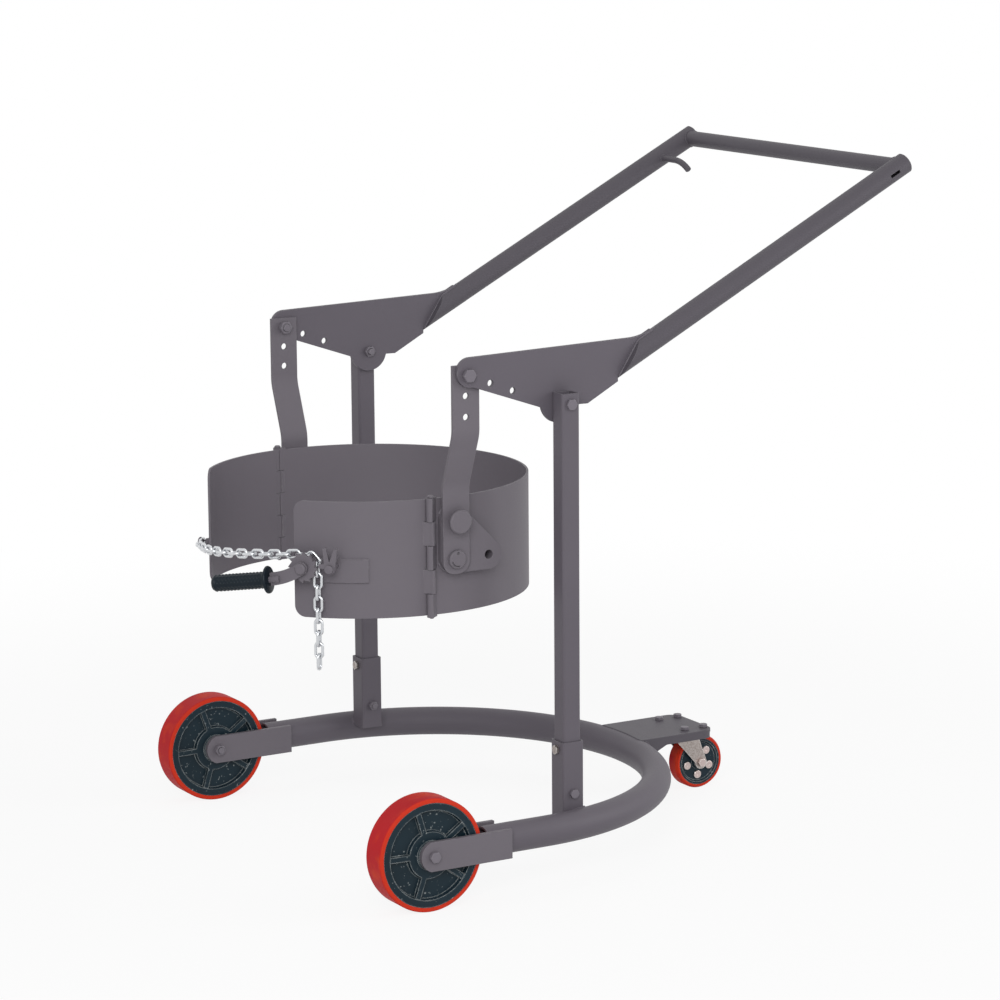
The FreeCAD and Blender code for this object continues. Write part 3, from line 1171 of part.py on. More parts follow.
def chain_route():
    """Closely spaced points along the chain's centre line."""
    route = []
    for n in range(400):
        degrees = ratchet_angle * (n / 200 - 1)
        route.append(ring(chain_swing(degrees), degrees, chain_z - s.anchor_drop * (1 - n / 400)))
    wheel = ratchet_out * wheel_ring + UP * ratchet_z
    for n in range(60):
        turn = math.pi / 2 * n / 60
        route.append(wheel + (ratchet_aside * math.sin(turn) + UP * math.cos(turn)) * s.chain_bend)
    for n in range(200):
        route.append(wheel + ratchet_aside * s.chain_bend - UP * (s.chain_tail * n / 199))
    return route


def chain_joints():
    """Points where the links bear on each other, from the anchor to the hanging end."""
    route = chain_route()
    joints = [route[0]]
    for a, b in zip(route, route[1:]):
        step = plane_step if len(joints) % 2 else cross_step
        if (b - joints[-1]).Length >= step:
            p, d = a - joints[-1], b - a
            half_b = p.dot(d)
            share = (math.sqrt(half_b ** 2 - d.dot(d) * (p.dot(p) - step ** 2)) - half_b) / d.dot(d)
            joints.append(a + d * share)
    return joints


wire_bend = (s.chain_opening + s.chain_wire) / 2
wire_straight = (s.chain_inside - s.chain_opening) / 2
link = body("link_pattern", Vector())
link_path = sketch(link, "XY_Plane", "link_path")
run(link_path, [
    ((-wire_straight, -wire_bend), (wire_straight, -wire_bend)),
    ((wire_straight, -wire_bend), (wire_straight + wire_bend, 0), (wire_straight, wire_bend)),
    ((wire_straight, wire_bend), (-wire_straight, wire_bend)),
    ((-wire_straight, wire_bend), (-wire_straight - wire_bend, 0), (-wire_straight, -wire_bend))])
link_wire = sketch(link, "YZ_Plane", "link_wire")
circle(link_wire, -wire_bend, 0, "Sizes.chain_wire / 2", "wire")
link_pipe = pipe(link, link_wire, link_path, 4, "link_pipe")
doc.recompute()

joints = chain_joints()
span = []
hanging = []
for number, (a, b) in enumerate(zip(joints, joints[1:])):
    along_run = (b - a).normalize()
    flat = along_run.cross(UP if abs(along_run.z) < 0.6 else ratchet_aside).normalize()
    wide = flat.cross(along_run)
    axes = (along_run, wide, flat) if number % 2 == 0 else (along_run, flat * -1, wide)
    seat = Placement(cradle((a + b) * 0.5), Rotation(*axes, "ZXY"))
    shape = link_pipe.Shape.copy()
    shape.Placement = seat.multiply(shape.Placement)
    near_wheel = (a + b).dot(ratchet_aside) / 2 > -2 * cross_step
    (hanging if near_wheel else span).append(shape)
for label, links in (("chain_span", span), ("chain_tail", hanging)):
    item = doc.addObject("Part::Feature", label)
    item.Shape = Part.makeCompound(links)
    keep(item, label)

stud = s.chain_wire / 2
low = band_outer + s.weld_gap
keep(turning("chain_anchor", [
    (0, low), (9, low), (7, wheel_ring - s.chain_wire), (stud, wheel_ring - 3.5), (stud, wheel_ring + 4),
    (9, wheel_ring + 4), (9, wheel_ring + 7), (7, wheel_ring + 9), (0, wheel_ring + 9)],
    cradle(Vector(0, 0, chain_z - s.anchor_drop)), ring(1, ratchet_angle, 0, 1)), "chain_anchor")


# Checks before the files are written

doc.recompute()
os.makedirs("parts", exist_ok=True)
for item in doc.Objects:
    if "Invalid" in item.State or "Error" in item.State:
        raise RuntimeError(f"{item.Label} did not build: {item.State}")
for item in nodes:
    if item.Shape.isNull() or not item.Shape.isValid() or not item.Shape.Solids:
        raise RuntimeError(f"{item.Label} has no valid solid")
for item in nodes:
    item.Shape.exportStep(f"parts/{item.Label}.step")
    box = item.Shape.BoundBox
    print(f"{item.Label}: {len(item.Shape.Solids)} solids, {item.Shape.Volume / 1000:.1f} cm3, "
          f"x {box.XMin:.1f}..{box.XMax:.1f} y {box.YMin:.1f}..{box.YMax:.1f} "
          f"z {box.ZMin:.1f}..{box.ZMax:.1f}")
print(f"{len(nodes)} nodes, tilt axis at x = {origin_x:.2f}, base tube at y = {bow_radius:.2f}, "
      f"hinges at x = {origin_x - s.band_lead - hinge_front:.2f}, y = {hinge_y:.2f}")
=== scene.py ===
# %% [markdown]
# # A hand trolley with a lifting cradle
# The trolley stands on a bent base tube with two big front wheels and one rear caster. Two posts
# carry a lifting lever. The lever's short ends hold a ring-shaped cradle by two hanger arms, and
# a chain with a ratchet draws the cradle's flaps shut.
# This lesson dresses the finished CAD model. It gives each surface the finish that it has in real
# life, and adds what a workshop leaves behind: weld beads, cut threads, and the chamfers on bolts.
# The model comes in metres, and what is added is measured on it, so nothing needs to be fitted.

# %% Load the frame
import json
import math
from collections import namedtuple

import bmesh
import bpy
from mathutils import Matrix, Vector


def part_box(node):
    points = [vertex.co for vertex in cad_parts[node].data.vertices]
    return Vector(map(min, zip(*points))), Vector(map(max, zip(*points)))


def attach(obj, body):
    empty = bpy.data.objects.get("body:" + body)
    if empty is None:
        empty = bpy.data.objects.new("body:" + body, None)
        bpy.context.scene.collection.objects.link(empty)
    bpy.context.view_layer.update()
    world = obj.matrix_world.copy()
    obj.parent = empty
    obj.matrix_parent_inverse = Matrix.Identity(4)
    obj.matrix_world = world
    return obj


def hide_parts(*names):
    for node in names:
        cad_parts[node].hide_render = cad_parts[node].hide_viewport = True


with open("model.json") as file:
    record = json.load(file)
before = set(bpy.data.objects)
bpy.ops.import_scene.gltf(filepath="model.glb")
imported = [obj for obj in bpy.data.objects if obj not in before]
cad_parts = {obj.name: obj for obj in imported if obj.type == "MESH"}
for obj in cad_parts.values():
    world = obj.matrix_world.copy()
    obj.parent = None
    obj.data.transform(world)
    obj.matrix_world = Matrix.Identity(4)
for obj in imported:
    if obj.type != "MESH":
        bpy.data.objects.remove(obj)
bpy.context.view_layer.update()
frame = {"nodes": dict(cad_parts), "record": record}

nodes = frame["nodes"]
record = frame["record"]

# %% [markdown]
# ## Camera
# The camera stands where a catalogue photographer would put it: some six metres away with a long
# lens, a little above the lever, turned thirty degrees to the trolley's left side. A long lens keeps
# the posts nearly parallel. The picture is square, so one focal length is enough. The place is
# measured from the hanger arms, because they stand on the tilt axis.

# %% Camera
scene = bpy.context.scene


def put(name, data):
    """Puts an object into the scene."""
    item = bpy.data.objects.new(name, data)
    scene.collection.objects.link(item)
    return item


arm_low, arm_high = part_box("arm_left")
cradle_x = (arm_low.x + arm_high.x) / 2
camera_place = (cradle_x - 3.0069, -5.6582, 1.8564)
ahead = Vector((0.49171, 0.85018, -0.18820)).normalized()
rightward = Vector((0.86491, -0.50186, -0.00737))
rightward = (rightward - ahead * rightward.dot(ahead)).normalized()
long_lens = bpy.data.cameras.new("catalogue_camera")
long_lens.sensor_width = 36
long_lens.lens = 130.54
long_lens.clip_end = 50
camera = put("catalogue_camera", long_lens)
turn = Matrix((rightward, rightward.cross(ahead), -ahead)).transposed().to_4x4()
camera.matrix_world = Matrix.Translation(camera_place) @ turn
scene.camera = camera
print("camera at", [round(c, 3) for c in camera.matrix_world.translation])

# %% [markdown]
# ## Studio
# The studio is a white sweep with three large soft lamps. The background is white only for rays that
# come from the camera, a mirror or glass. The light that falls on the trolley stays at a plain level,
# so that a colour renders about as it is written. One helper adds every shader node from here on: it
# sets the node's properties, and links or fills its inputs.

# %% White world
WHITE = (1, 1, 1, 1)
daylight = 0.5


def node(tree, kind, inputs=None, **settings):
    """Adds a shader node, sets its properties, and links or fills its inputs."""
    item = tree.nodes.new(kind)
    for key, value in settings.items():
        setattr(item, key, value)
    for key, value in (inputs or {}).items():
        socket = item.inputs[key]
        if isinstance(value, bpy.types.NodeSocket):
            tree.links.new(value, socket)
        else:
            socket.default_value = value
    return item


def reckon(tree, operation, *values):
    """One step of arithmetic."""
    return node(tree, "ShaderNodeMath", dict(enumerate(values)), operation=operation).outputs[0]


def background_rays(tree):
    """One for the rays that see the background: from the camera, a mirror or glass."""
    rays = node(tree, "ShaderNodeLightPath").outputs
    mirrored = reckon(tree, "MAXIMUM", rays["Is Camera Ray"], rays["Is Glossy Ray"])
    return reckon(tree, "MAXIMUM", mirrored, rays["Is Transmission Ray"])


scene.view_settings.view_transform = "Standard"
world = bpy.data.worlds.new("white_studio")
scene.world = world
world.use_nodes = True
tree = world.node_tree
tree.nodes.clear()
lighting = node(tree, "ShaderNodeBackground", {"Color": WHITE, "Strength": daylight}).outputs[0]
backdrop = node(tree, "ShaderNodeBackground", {"Color": WHITE, "Strength": 1.0}).outputs[0]
choice = node(tree, "ShaderNodeMixShader", {0: background_rays(tree), 1: lighting, 2: backdrop})
node(tree, "ShaderNodeOutputWorld", {"Surface": choice.outputs[0]})
print("world:", world.name, "light from all sides:", daylight)

# %% [markdown]
# The key lamp stands at the front left, like a large window. The fill lamp lightens the other side,
# and a weak lamp from above shows the tops of the tubes. They are over two metres wide, because the
# shadow of a large lamp has a soft edge.

# %% Soft lamps


def soft_lamp(name, place, target, size, power):
    """A square lamp that faces a target."""
    lamp = bpy.data.lights.new(name, "AREA")
    lamp.shape = "SQUARE"
    lamp.size = size
    lamp.energy = power
    holder = put(name, lamp)
    holder.location = place
    holder.rotation_euler = (Vector(target) - Vector(place)).to_track_quat("-Z", "Y").to_euler()


soft_lamp("key_lamp", place=(-2.8, -3.8, 2.7), target=(0, 0, 0.6), size=2.4, power=112)
soft_lamp("fill_lamp", place=(3.6, -2.6, 1.9), target=(0, 0, 0.6), size=2.6, power=56)
soft_lamp("top_lamp", place=(0.2, 0.6, 4.2), target=(0, 0, 0.4), size=2.6, power=9)
print("lamps:", [item.name for item in scene.objects if item.type == "LIGHT"])

# %% [markdown]
# The floor is a pale sheet that glows a little for the camera, so that it meets the white background
# without an edge. Near the trolley an eighth of what the camera sees is the lit sheet itself, which
# keeps the soft shadow. Farther out the share falls to nothing.

# %% Floor
floor_half = 6.0
shadow_end = 1.0
white_start = 2.8
glow_near = 0.88
pale = (0.86, 0.86, 0.86, 1)


def spread(tree, value, low, high, start=0.0, end=1.0, **settings):
    """Maps a value from low..high to start..end."""
    inputs = {"Value": value, "From Min": low, "From Max": high, "To Min": start, "To Max": end}
    return node(tree, "ShaderNodeMapRange", inputs, **settings).outputs["Result"]


corners = [(x * floor_half, y * floor_half, 0) for x, y in ((-1, -1), (1, -1), (1, 1), (-1, 1))]
floor_mesh = bpy.data.meshes.new("studio_floor")
floor_mesh.from_pydata(corners, [], [(0, 1, 2, 3)])
floor = put("studio_floor", floor_mesh)
floor_finish = bpy.data.materials.new("pale_floor")
floor_finish.use_nodes = True
tree = floor_finish.node_tree
tree.nodes.clear()
place = node(tree, "ShaderNodeTexCoord").outputs["Object"]
away = node(tree, "ShaderNodeVectorMath", {0: place}, operation="LENGTH").outputs["Value"]
glow_share = spread(tree, away, shadow_end, white_start, glow_near, interpolation_type="SMOOTHSTEP")
shown_share = reckon(tree, "MULTIPLY", background_rays(tree), glow_share)
sheet = node(tree, "ShaderNodeBsdfDiffuse", {"Color": pale}).outputs[0]
glow = node(tree, "ShaderNodeEmission", {"Color": WHITE, "Strength": 1.0}).outputs[0]
surface = node(tree, "ShaderNodeMixShader", {0: shown_share, 1: sheet, 2: glow})
node(tree, "ShaderNodeOutputMaterial", {"Surface": surface.outputs[0]})
floor.data.materials.append(floor_finish)
print("floor side in metres:", 2 * floor_half)

# %% [markdown]
# ## Effects that several finishes share
# Paint, zinc and moulded plastic differ in colour, but what happens to them is alike: a fine skin
# texture, edges that are never quite sharp, a second colour along the edges and a little dust. On the
# paint the edge colour is wear, and on the wheel centres it is a painted highlight. Each effect is a
# node group with named sockets, so that a finish can call it with its own values. The groups work on
# object coordinates. The CAD meshes keep their place in the frame, so one unit there is one metre.
# The first effect is the skin: a fine noise for the orange peel of paint or the grain of a moulding,
# with a broad noise beside it for slow changes of shade.

# %% Skin texture
FLOAT = "NodeSocketFloat"


def new_group(name, inputs, outputs):
    """A node group with named sockets: the group, what it is given, and where its results go."""
    group = bpy.data.node_groups.new(name, "ShaderNodeTree")
    for label, value in inputs.items():
        group.interface.new_socket(label, in_out="INPUT", socket_type=FLOAT).default_value = value
    for label, kind in outputs.items():
        group.interface.new_socket(label, in_out="OUTPUT", socket_type=kind)
    print("group:", name, "gives:", list(outputs))
    return group, group.nodes.new("NodeGroupInput").outputs, group.nodes.new("NodeGroupOutput").inputs


def noise(tree, scale, detail, roughness):
    """Noise over the surface, in metres of the frame."""
    place = node(tree, "ShaderNodeTexCoord").outputs["Object"]
    inputs = {"Vector": place, "Scale": scale, "Detail": detail, "Roughness": roughness}
    return node(tree, "ShaderNodeTexNoise", inputs).outputs["Fac"]


skin, given, result = new_group("skin_texture", {"Scale": 400.0}, {"Fine": FLOAT, "Broad": FLOAT})
skin.links.new(noise(skin, given["Scale"], detail=3.0, roughness=0.55), result["Fine"])
skin.links.new(noise(skin, scale=7.0, detail=4.0, roughness=0.6), result["Broad"])

# %% [markdown]
# A bent plate or a sawn tube has edges rounded by a millimetre, which catch the light. The Bevel
# node gives the normals of such an edge without changing the CAD mesh.

# %% Eased edges
edge_rounding = 0.0012
eased, given, result = new_group("eased_edges", {"Radius": edge_rounding}, {"Normal": "NodeSocketVector"})
rounding = node(eased, "ShaderNodeBevel", {"Radius": given["Radius"]}, samples=6)
eased.links.new(rounding.outputs["Normal"], result["Normal"])

# %% [markdown]
# Where the normal of an eased edge differs from the face's own, the surface is near an edge. Broken
# up by noise, that is a mask for worn paint, and for the pale edges of the wheel centres' ribs, which
# are a painted highlight. Cover is the least share of an edge that is marked, from patches at 0 to an
# unbroken line at 1.

# %% Worn edges and painted highlights
wear_and_glint, given, result = new_group("worn_and_glint_edges", {"Width": 0.0025, "Amount": 0.5, "Cover": 0.0}, {"Mask": FLOAT})
own = node(wear_and_glint, "ShaderNodeNewGeometry").outputs["Normal"]
soft = node(wear_and_glint, "ShaderNodeBevel", {"Radius": given["Width"]}, samples=4).outputs["Normal"]
alike = node(wear_and_glint, "ShaderNodeVectorMath", {0: soft, 1: own}, operation="DOT_PRODUCT").outputs["Value"]
edge = spread(wear_and_glint, alike, low=0.995, high=0.88)
patches = spread(wear_and_glint, noise(wear_and_glint, scale=45.0, detail=5.0, roughness=0.7), 0.42, 0.68, start=given["Cover"])
wear_and_glint_mask = reckon(wear_and_glint, "MULTIPLY", edge, patches)
wear_and_glint.links.new(reckon(wear_and_glint, "MULTIPLY", wear_and_glint_mask, given["Amount"]), result["Mask"])

# %% [markdown]
# Dust settles on what faces upwards, in clouds. The height of the face's normal tells how level the
# surface lies, and a noise makes the clouds.

# %% Settled dust
dust, given, result = new_group("settled_dust", {"Amount": 0.3}, {"Mask": FLOAT})
own = node(dust, "ShaderNodeNewGeometry").outputs["Normal"]
facing = node(dust, "ShaderNodeSeparateXYZ", {"Vector": own}).outputs["Z"]
lying = spread(dust, facing, low=0.35, high=1.0)
settled = reckon(dust, "MULTIPLY", lying, noise(dust, scale=28.0, detail=6.0, roughness=0.65))
dust.links.new(reckon(dust, "MULTIPLY", settled, given["Amount"]), result["Mask"])

# %% [markdown]
# ## The finishes
# The frame has a flat grey paint with a touch of violet, sprayed over rough tube. Such paint shows a
# fine orange-peel skin, small changes of shade, and bright steel where edges rub. The treads are red
# polyurethane, the wheel centres black moulded plastic, and the caster and chain are zinc plated.
# One function builds them all from the shared effects. What is the same all over a surface, such as
# the gloss of a paint, is set on the shader's own socket.

# %% A finish from the shared effects
pale_dust = (0.42, 0.40, 0.38)
peel_height = 0.0004
rough_change = 0.1
finishes = {}


def mixed(tree, share, first, second):
    """A colour between two others."""
    colours = [value if isinstance(value, bpy.types.NodeSocket) else (*value, 1) for value in (first, second)]
    inputs = {"Factor": share, "A": colours[0], "B": colours[1]}
    return node(tree, "ShaderNodeMix", inputs, data_type="RGBA").outputs["Result"]


def effect(tree, group, **values):
    """Places a shared effect with its own values."""
    item = node(tree, "ShaderNodeGroup", node_tree=group)
    for label, value in values.items():
        item.inputs[label].default_value = value
    return item.outputs


def finish(name, colour, rough, gloss=0.3, metallic=0.0, bare_and_glint=None, bare_metal=True, wear_and_glint_width=0.0025,
           wear_and_glint_amount=0.3, wear_and_glint_cover=0.0, skin_scale=400.0, relief=0.1, shade=0.06, dusty=0.1,
           dust_colour=pale_dust):
    """Makes a finish with slow changes of shade, dust, a fine skin, and a colour along the edges: wear on
    paint, a painted highlight on the wheel centres.
    """
    material = bpy.data.materials.new(name)
    material.use_nodes = True
    tree = material.node_tree
    shader = tree.nodes["Principled BSDF"].inputs
    shader["Specular IOR Level"].default_value = gloss
    shader["Metallic"].default_value = metallic
    texture = effect(tree, skin, Scale=skin_scale)
    shades = [tuple(min(1, c * (1 + sign * shade)) for c in colour) for sign in (-1, 1)]
    base = mixed(tree, texture["Broad"], *shades)
    base = mixed(tree, effect(tree, dust, Amount=dusty)["Mask"], base, dust_colour)
    # Edges take a second colour: wear on the paint, and a painted highlight on the wheel centres.
    if bare_and_glint:
        wear_and_glint_mask = effect(tree, wear_and_glint, Width=wear_and_glint_width, Amount=wear_and_glint_amount, Cover=wear_and_glint_cover)["Mask"]
        base = mixed(tree, wear_and_glint_mask, base, bare_and_glint)
        if bare_metal and not metallic:
            tree.links.new(wear_and_glint_mask, shader["Metallic"])
    tree.links.new(base, shader["Base Color"])
    smooth = rough * (1 - rough_change)
    coarse = min(1, rough * (1 + rough_change))
    tree.links.new(spread(tree, texture["Fine"], 0.3, 0.7, smooth, coarse), shader["Roughness"])
    bump = node(tree, "ShaderNodeBump", {
        "Height": texture["Fine"], "Strength": relief, "Distance": peel_height,
        "Normal": effect(tree, eased, Radius=edge_rounding)["Normal"]})
    tree.links.new(bump.outputs["Normal"], shader["Normal"])
    finishes[name] = material


print("effects that a finish uses:", len((skin, eased, wear_and_glint, dust)))

# %% [markdown]
# The paints differ only in shade. The cradle is a little lighter than the frame, which is painted light,
# and the bolt heads are a little lighter still. The handle's darker paint is painted shade, and the tail
# plate has the same darker paint.
# Their colours are written as a screen shows them, which is easy to compare with a picture.

# %% Paints
steel = (0.42, 0.41, 0.42)


def screen(red, green, blue):
    """A screen colour, 0 to 255, as the linear values that the shaders use."""
    shares = [c / 255 for c in (red, green, blue)]
    return tuple(c / 12.92 if c < 0.04045 else ((c + 0.055) / 1.055) ** 2.4 for c in shares)


finish("frame_paint", screen(94, 89, 97), 0.52, bare_and_glint=steel, wear_and_glint_amount=0.22, skin_scale=520, dusty=0.04)
# The handle's darker paint is painted shade; the tail plate takes the same paint.
finish("shaded_paint", screen(82, 78, 85), 0.52, bare_and_glint=steel, wear_and_glint_amount=0.22, skin_scale=520, dusty=0.03)
# The cradle's lighter paint is painted light.
finish("cradle_paint", screen(105, 100, 107), 0.55, bare_and_glint=steel, wear_and_glint_amount=0.25, skin_scale=420,
       relief=0.12, dusty=0.04)
finish("bolt_paint", screen(112, 107, 115), 0.45, bare_and_glint=steel, wear_and_glint_amount=0.4, wear_and_glint_width=0.0012,
       skin_scale=700, dusty=0.05)
print("paints:", list(finishes))

# %% [markdown]
# The plastics have a low gloss, because a white room would otherwise turn black into grey and red
# into pink. The edges of the wheel centres' ribs are painted pale, as a painted highlight. Zinc and
# chain are unpainted metal: their colour is the colour of what they mirror. Sheet zinc is lighter along
# its edges. The rivets and the caster's axle get a lighter copy of the zinc, which is a painted highlight.

# %% Plastics and metals
finish("tread", screen(184, 30, 36), 0.58, gloss=0.12, skin_scale=900, relief=0.08, shade=0.08,
       dusty=0.06, dust_colour=(0.3, 0.2, 0.17))
# The pale colour on the edges of the wheel centres' ribs is a painted highlight.
finish("wheel_centre", (0.007, 0.019, 0.028), 0.42, gloss=0.2, bare_and_glint=(0.45, 0.48, 0.48), bare_metal=False,
       wear_and_glint_width=0.0028, wear_and_glint_amount=0.9, wear_and_glint_cover=0.3, skin_scale=1100, shade=0.45, dusty=0.1,
       dust_colour=(0.10, 0.10, 0.11))
finish("black_grip", (0.004, 0.010, 0.016), 0.4, gloss=0.2, skin_scale=1400, relief=0.15, shade=0.15,
       dusty=0.03, dust_colour=(0.06, 0.06, 0.06))
finish("zinc", screen(168, 160, 156), 0.42, metallic=1.0, bare_and_glint=(0.86, 0.84, 0.82), wear_and_glint_amount=1.0,
       wear_and_glint_width=0.0025, wear_and_glint_cover=0.7, skin_scale=260, relief=0.05, shade=0.12, dusty=0.04)
# The lighter zinc of the rivets and the caster's axle is a painted highlight.
finish("highlit_zinc", screen(188, 172, 168), 0.4, metallic=1.0, bare_and_glint=(0.80, 0.77, 0.74), wear_and_glint_amount=0.9,
       wear_and_glint_width=0.003, wear_and_glint_cover=0.7, skin_scale=500, relief=0.05, dusty=0.03)
finish("chain_steel", screen(208, 210, 213), 0.28, metallic=1.0, skin_scale=600, relief=0.06, shade=0.12,
       dusty=0.03)
print("finishes:", list(finishes))

# %% [markdown]
# The treads' shoulders turn from red towards orange: a painted sheen of light on their sides. Cloudy
# patches of the running face are tinted orange too. The surface's own normal tells a shoulder from the
# running face: it leans towards the wheel's axis, which is Y.

# %% Orange sheen and patches in the treads
sheen_and_cloud_orange = screen(216, 70, 22)


def tint(finish_name, share, colour):
    """Mixes a colour into a finish where a mask says so."""
    tree = finishes[finish_name].node_tree
    base = tree.nodes["Principled BSDF"].inputs["Base Color"]
    tree.links.new(mixed(tree, share, base.links[0].from_socket, colour), base)


tree = finishes["tread"].node_tree
own = node(tree, "ShaderNodeTexCoord").outputs["Normal"]
leaning = reckon(tree, "ABSOLUTE", node(tree, "ShaderNodeSeparateXYZ", {"Vector": own}).outputs["Y"])
# The orange on the shoulders is a painted sheen.
shoulder_sheen = spread(tree, leaning, low=0.15, high=0.95, end=0.45)
clouds = spread(tree, noise(tree, scale=22.0, detail=3.0, roughness=0.55), low=0.5, high=0.68, end=0.5)
tint("tread", reckon(tree, "MAXIMUM", shoulder_sheen, clouds), sheen_and_cloud_orange)
print("nodes of the treads:", len(tree.nodes))

# %% [markdown]
# The wheel centres have pale specks where grit has struck them: the peaks of a fine noise. The zinc of
# the caster's fork is mottled, as plating is that has stood outdoors, from a noise that is finer still.

# %% Specks on the wheel centres, mottled zinc
grit_mark = (0.34, 0.37, 0.37)
dull_zinc = screen(104, 92, 86)
tree = finishes["wheel_centre"].node_tree
peaks = noise(tree, scale=180.0, detail=2.0, roughness=0.5)
tint("wheel_centre", spread(tree, peaks, low=0.67, high=0.73, end=0.6), grit_mark)
tree = finishes["zinc"].node_tree
mottle = noise(tree, scale=330.0, detail=3.0, roughness=0.65)
tint("zinc", spread(tree, mottle, low=0.44, high=0.66, end=0.55), dull_zinc)
print("nodes of the zinc:", len(tree.nodes))

# %% [markdown]
# Every CAD node has a slot in its record that names its finish. Some pieces look different from the
# rest of their slot, so a short list gives them their own. A node keeps its shape and gets the finish.

# %% Dress the CAD nodes
OWN_FINISH = {
    # The lighter zinc of the rivets and the caster's axle is a painted highlight.
    "highlit_zinc": ("caster_rivets", "caster_axle"),
    # The hanger arms and the fork straps take the cradle's lighter paint, which is painted light.
    "cradle_paint": ("arm_left", "arm_right", "fork_straps"),
    # The handle's darker paint is painted shade; the tail plate takes the same paint.
    "shaded_paint": ("handle_tube_left", "handle_tube_right", "handle_crossbar", "handle_caps", "handle_peg",
                   "tail_plate"),
    "bolt_paint": ("axle_bolts", "axle_nuts", "socket_bolts", "pivot_bolts", "pivot_nuts", "hanger_bolts",
                   "caster_bolts"),
}
slot_of = {part["node"]: part["material_slot"] for part in record["subparts"]}
finish_of = {name: finishes[slot] for name, slot in slot_of.items()}
for look, names in OWN_FINISH.items():
    finish_of.update({name: finishes[look] for name in names})
for name, item in nodes.items():
    item.data.materials.clear()
    item.data.materials.append(finish_of[name])
print("dressed nodes:", len(nodes), "with a finish of their own:", sum(map(len, OWN_FINISH.values())))

# %% [markdown]
# ## Bolts and nuts
# In the CAD model a bolt is a plain hexagon on a plain shank. A real one has a head whose corners
# are cut back by a thirty degree cone, a thin washer face, and a rolled thread at its end. The place,
# size and turn of each fastener are measured on its CAD solid, so the detailed one fits the same
# holes. The first tool splits a node into its solids: it starts at one point and follows the edges
# until no new point is reached.

# %% Split a node into its solids
MM = 0.001


def solids_of(name):
    """The separate solids of a CAD node: for each one its points, and its faces as (normal, area)."""
    mesh = bmesh.new()
    mesh.from_mesh(nodes[name].data)
    bmesh.ops.remove_doubles(mesh, verts=mesh.verts, dist=0.01 * MM)
    mesh.verts.index_update()
    mesh.verts.ensure_lookup_table()
    waiting = dict.fromkeys(range(len(mesh.verts)))
    solids = []
    while waiting:
        reached = [mesh.verts[waiting.popitem()[0]]]
        faces = {}
        for vert in reached:
            for other in [edge.other_vert(vert) for edge in vert.link_edges]:
                if other.index in waiting:
                    del waiting[other.index]
                    reached.append(other)
            faces.update({face: (face.normal.copy(), face.calc_area()) for face in vert.link_faces})
        solids.append(([vert.co.copy() for vert in reached], list(faces.values())))
    mesh.free()
    return solids


print("solids of the caster bolts:", len(solids_of("caster_bolts")))

# %% [markdown]
# The second tool looks at a solid along its axis, which is the direction that most of its flat area
# faces. Each point then has a radius, an angle and a height. The points farthest out are the rim,
# such as the corners of a hexagon.

# %% Look at a solid along its axis
RIM_SHARE = 0.97
Point = namedtuple("Point", "radius angle height")


def flat_axis(faces):
    """The direction that most of the flat area faces, either way."""
    sums = {}
    for normal, area in faces:
        key = tuple(round(c, 2) for c in normal)
        key = max(key, tuple(-c for c in key))
        sums.setdefault(key, []).append((area, normal))
    best = max(sums.values(), key=lambda group: sum(area for area, _ in group))
    return max(best, key=lambda pair: pair[0])[1].normalized()


class Turned:
    """A solid seen along its axis: each point as a radius, an angle and a height."""

    def __init__(self, points, faces):
        self.axis = flat_axis(faces)
        self.first = self.axis.orthogonal().normalized()
        self.second = self.axis.cross(self.first)
        self.centre = Vector()
        for direction in (self.first, self.second):
            spans = [point.dot(direction) for point in points]
            self.centre += direction * (min(spans) + max(spans)) / 2
        seen = []
        for point in points:
            out = point - self.centre
            across = (out.dot(self.first), out.dot(self.second))
            seen.append(Point(math.hypot(*across), math.atan2(across[1], across[0]), point.dot(self.axis)))
        self.sort(seen)

    def sort(self, seen):
        """Sorts the points into the rim and the rest."""
        self.points = seen
        self.widest = max(point.radius for point in seen)
        self.rim = [point for point in seen if point.radius > RIM_SHARE * self.widest]
        self.rest = [point for point in seen if point.radius <= RIM_SHARE * self.widest]

    def turn_over(self):
        """Looks along the axis from its other end."""
        self.axis = -self.axis
        self.second = -self.second
        self.sort([Point(radius, -angle, -height) for radius, angle, height in self.points])

    def spot(self, radius, angle, height):
        """The place in the frame of a radius, an angle and a height."""
        return (self.centre + self.axis * height
                + (self.first * math.cos(angle) + self.second * math.sin(angle)) * radius)


print("a caster bolt's widest radius in mm:", round(Turned(*solids_of("caster_bolts")[0]).widest / MM, 1))

# %% [markdown]
# Every round piece below is a stack of rings: each ring lists a radius and a height for each of its
# points, so a ring can be a circle, a hexagon, a chamfer or a turn of a thread. Neighbouring rings
# are joined by faces, and the ends are closed. A finished mesh becomes a piece that rides on a body of
# the frame and takes its finish from the CAD node that it is like.

# %% Stack rings into a piece
SHARP = math.radians(28)
body_of = {name: body for body, names in record["behaviour"]["bodies"].items() for name in names}


def join_rings(mesh, rings, closed=False):
    """Joins rings of points into one skin, capped at both ends or closed on itself."""
    pairs = list(zip(rings, rings[1:]))
    if closed:
        pairs.append((rings[-1], rings[0]))
    for lower, upper in pairs:
        for n in range(len(lower)):
            mesh.faces.new((lower[n - 1], lower[n], upper[n], upper[n - 1]))
    if not closed:
        mesh.faces.new(rings[0][::-1])
        mesh.faces.new(rings[-1])


def turns(count):
    """Angles at even steps round a circle."""
    return [2 * math.pi * n / count for n in range(count)]


def stack(mesh, spot, rings, closed=False):
    """Places rings of (radius, height) pairs at even turns, and joins them."""
    placed = []
    for ring in rings:
        spots = [spot(radius, turn, height) for turn, (radius, height) in zip(turns(len(ring)), ring)]
        placed.append([mesh.verts.new(place) for place in spots])
    join_rings(mesh, placed, closed)


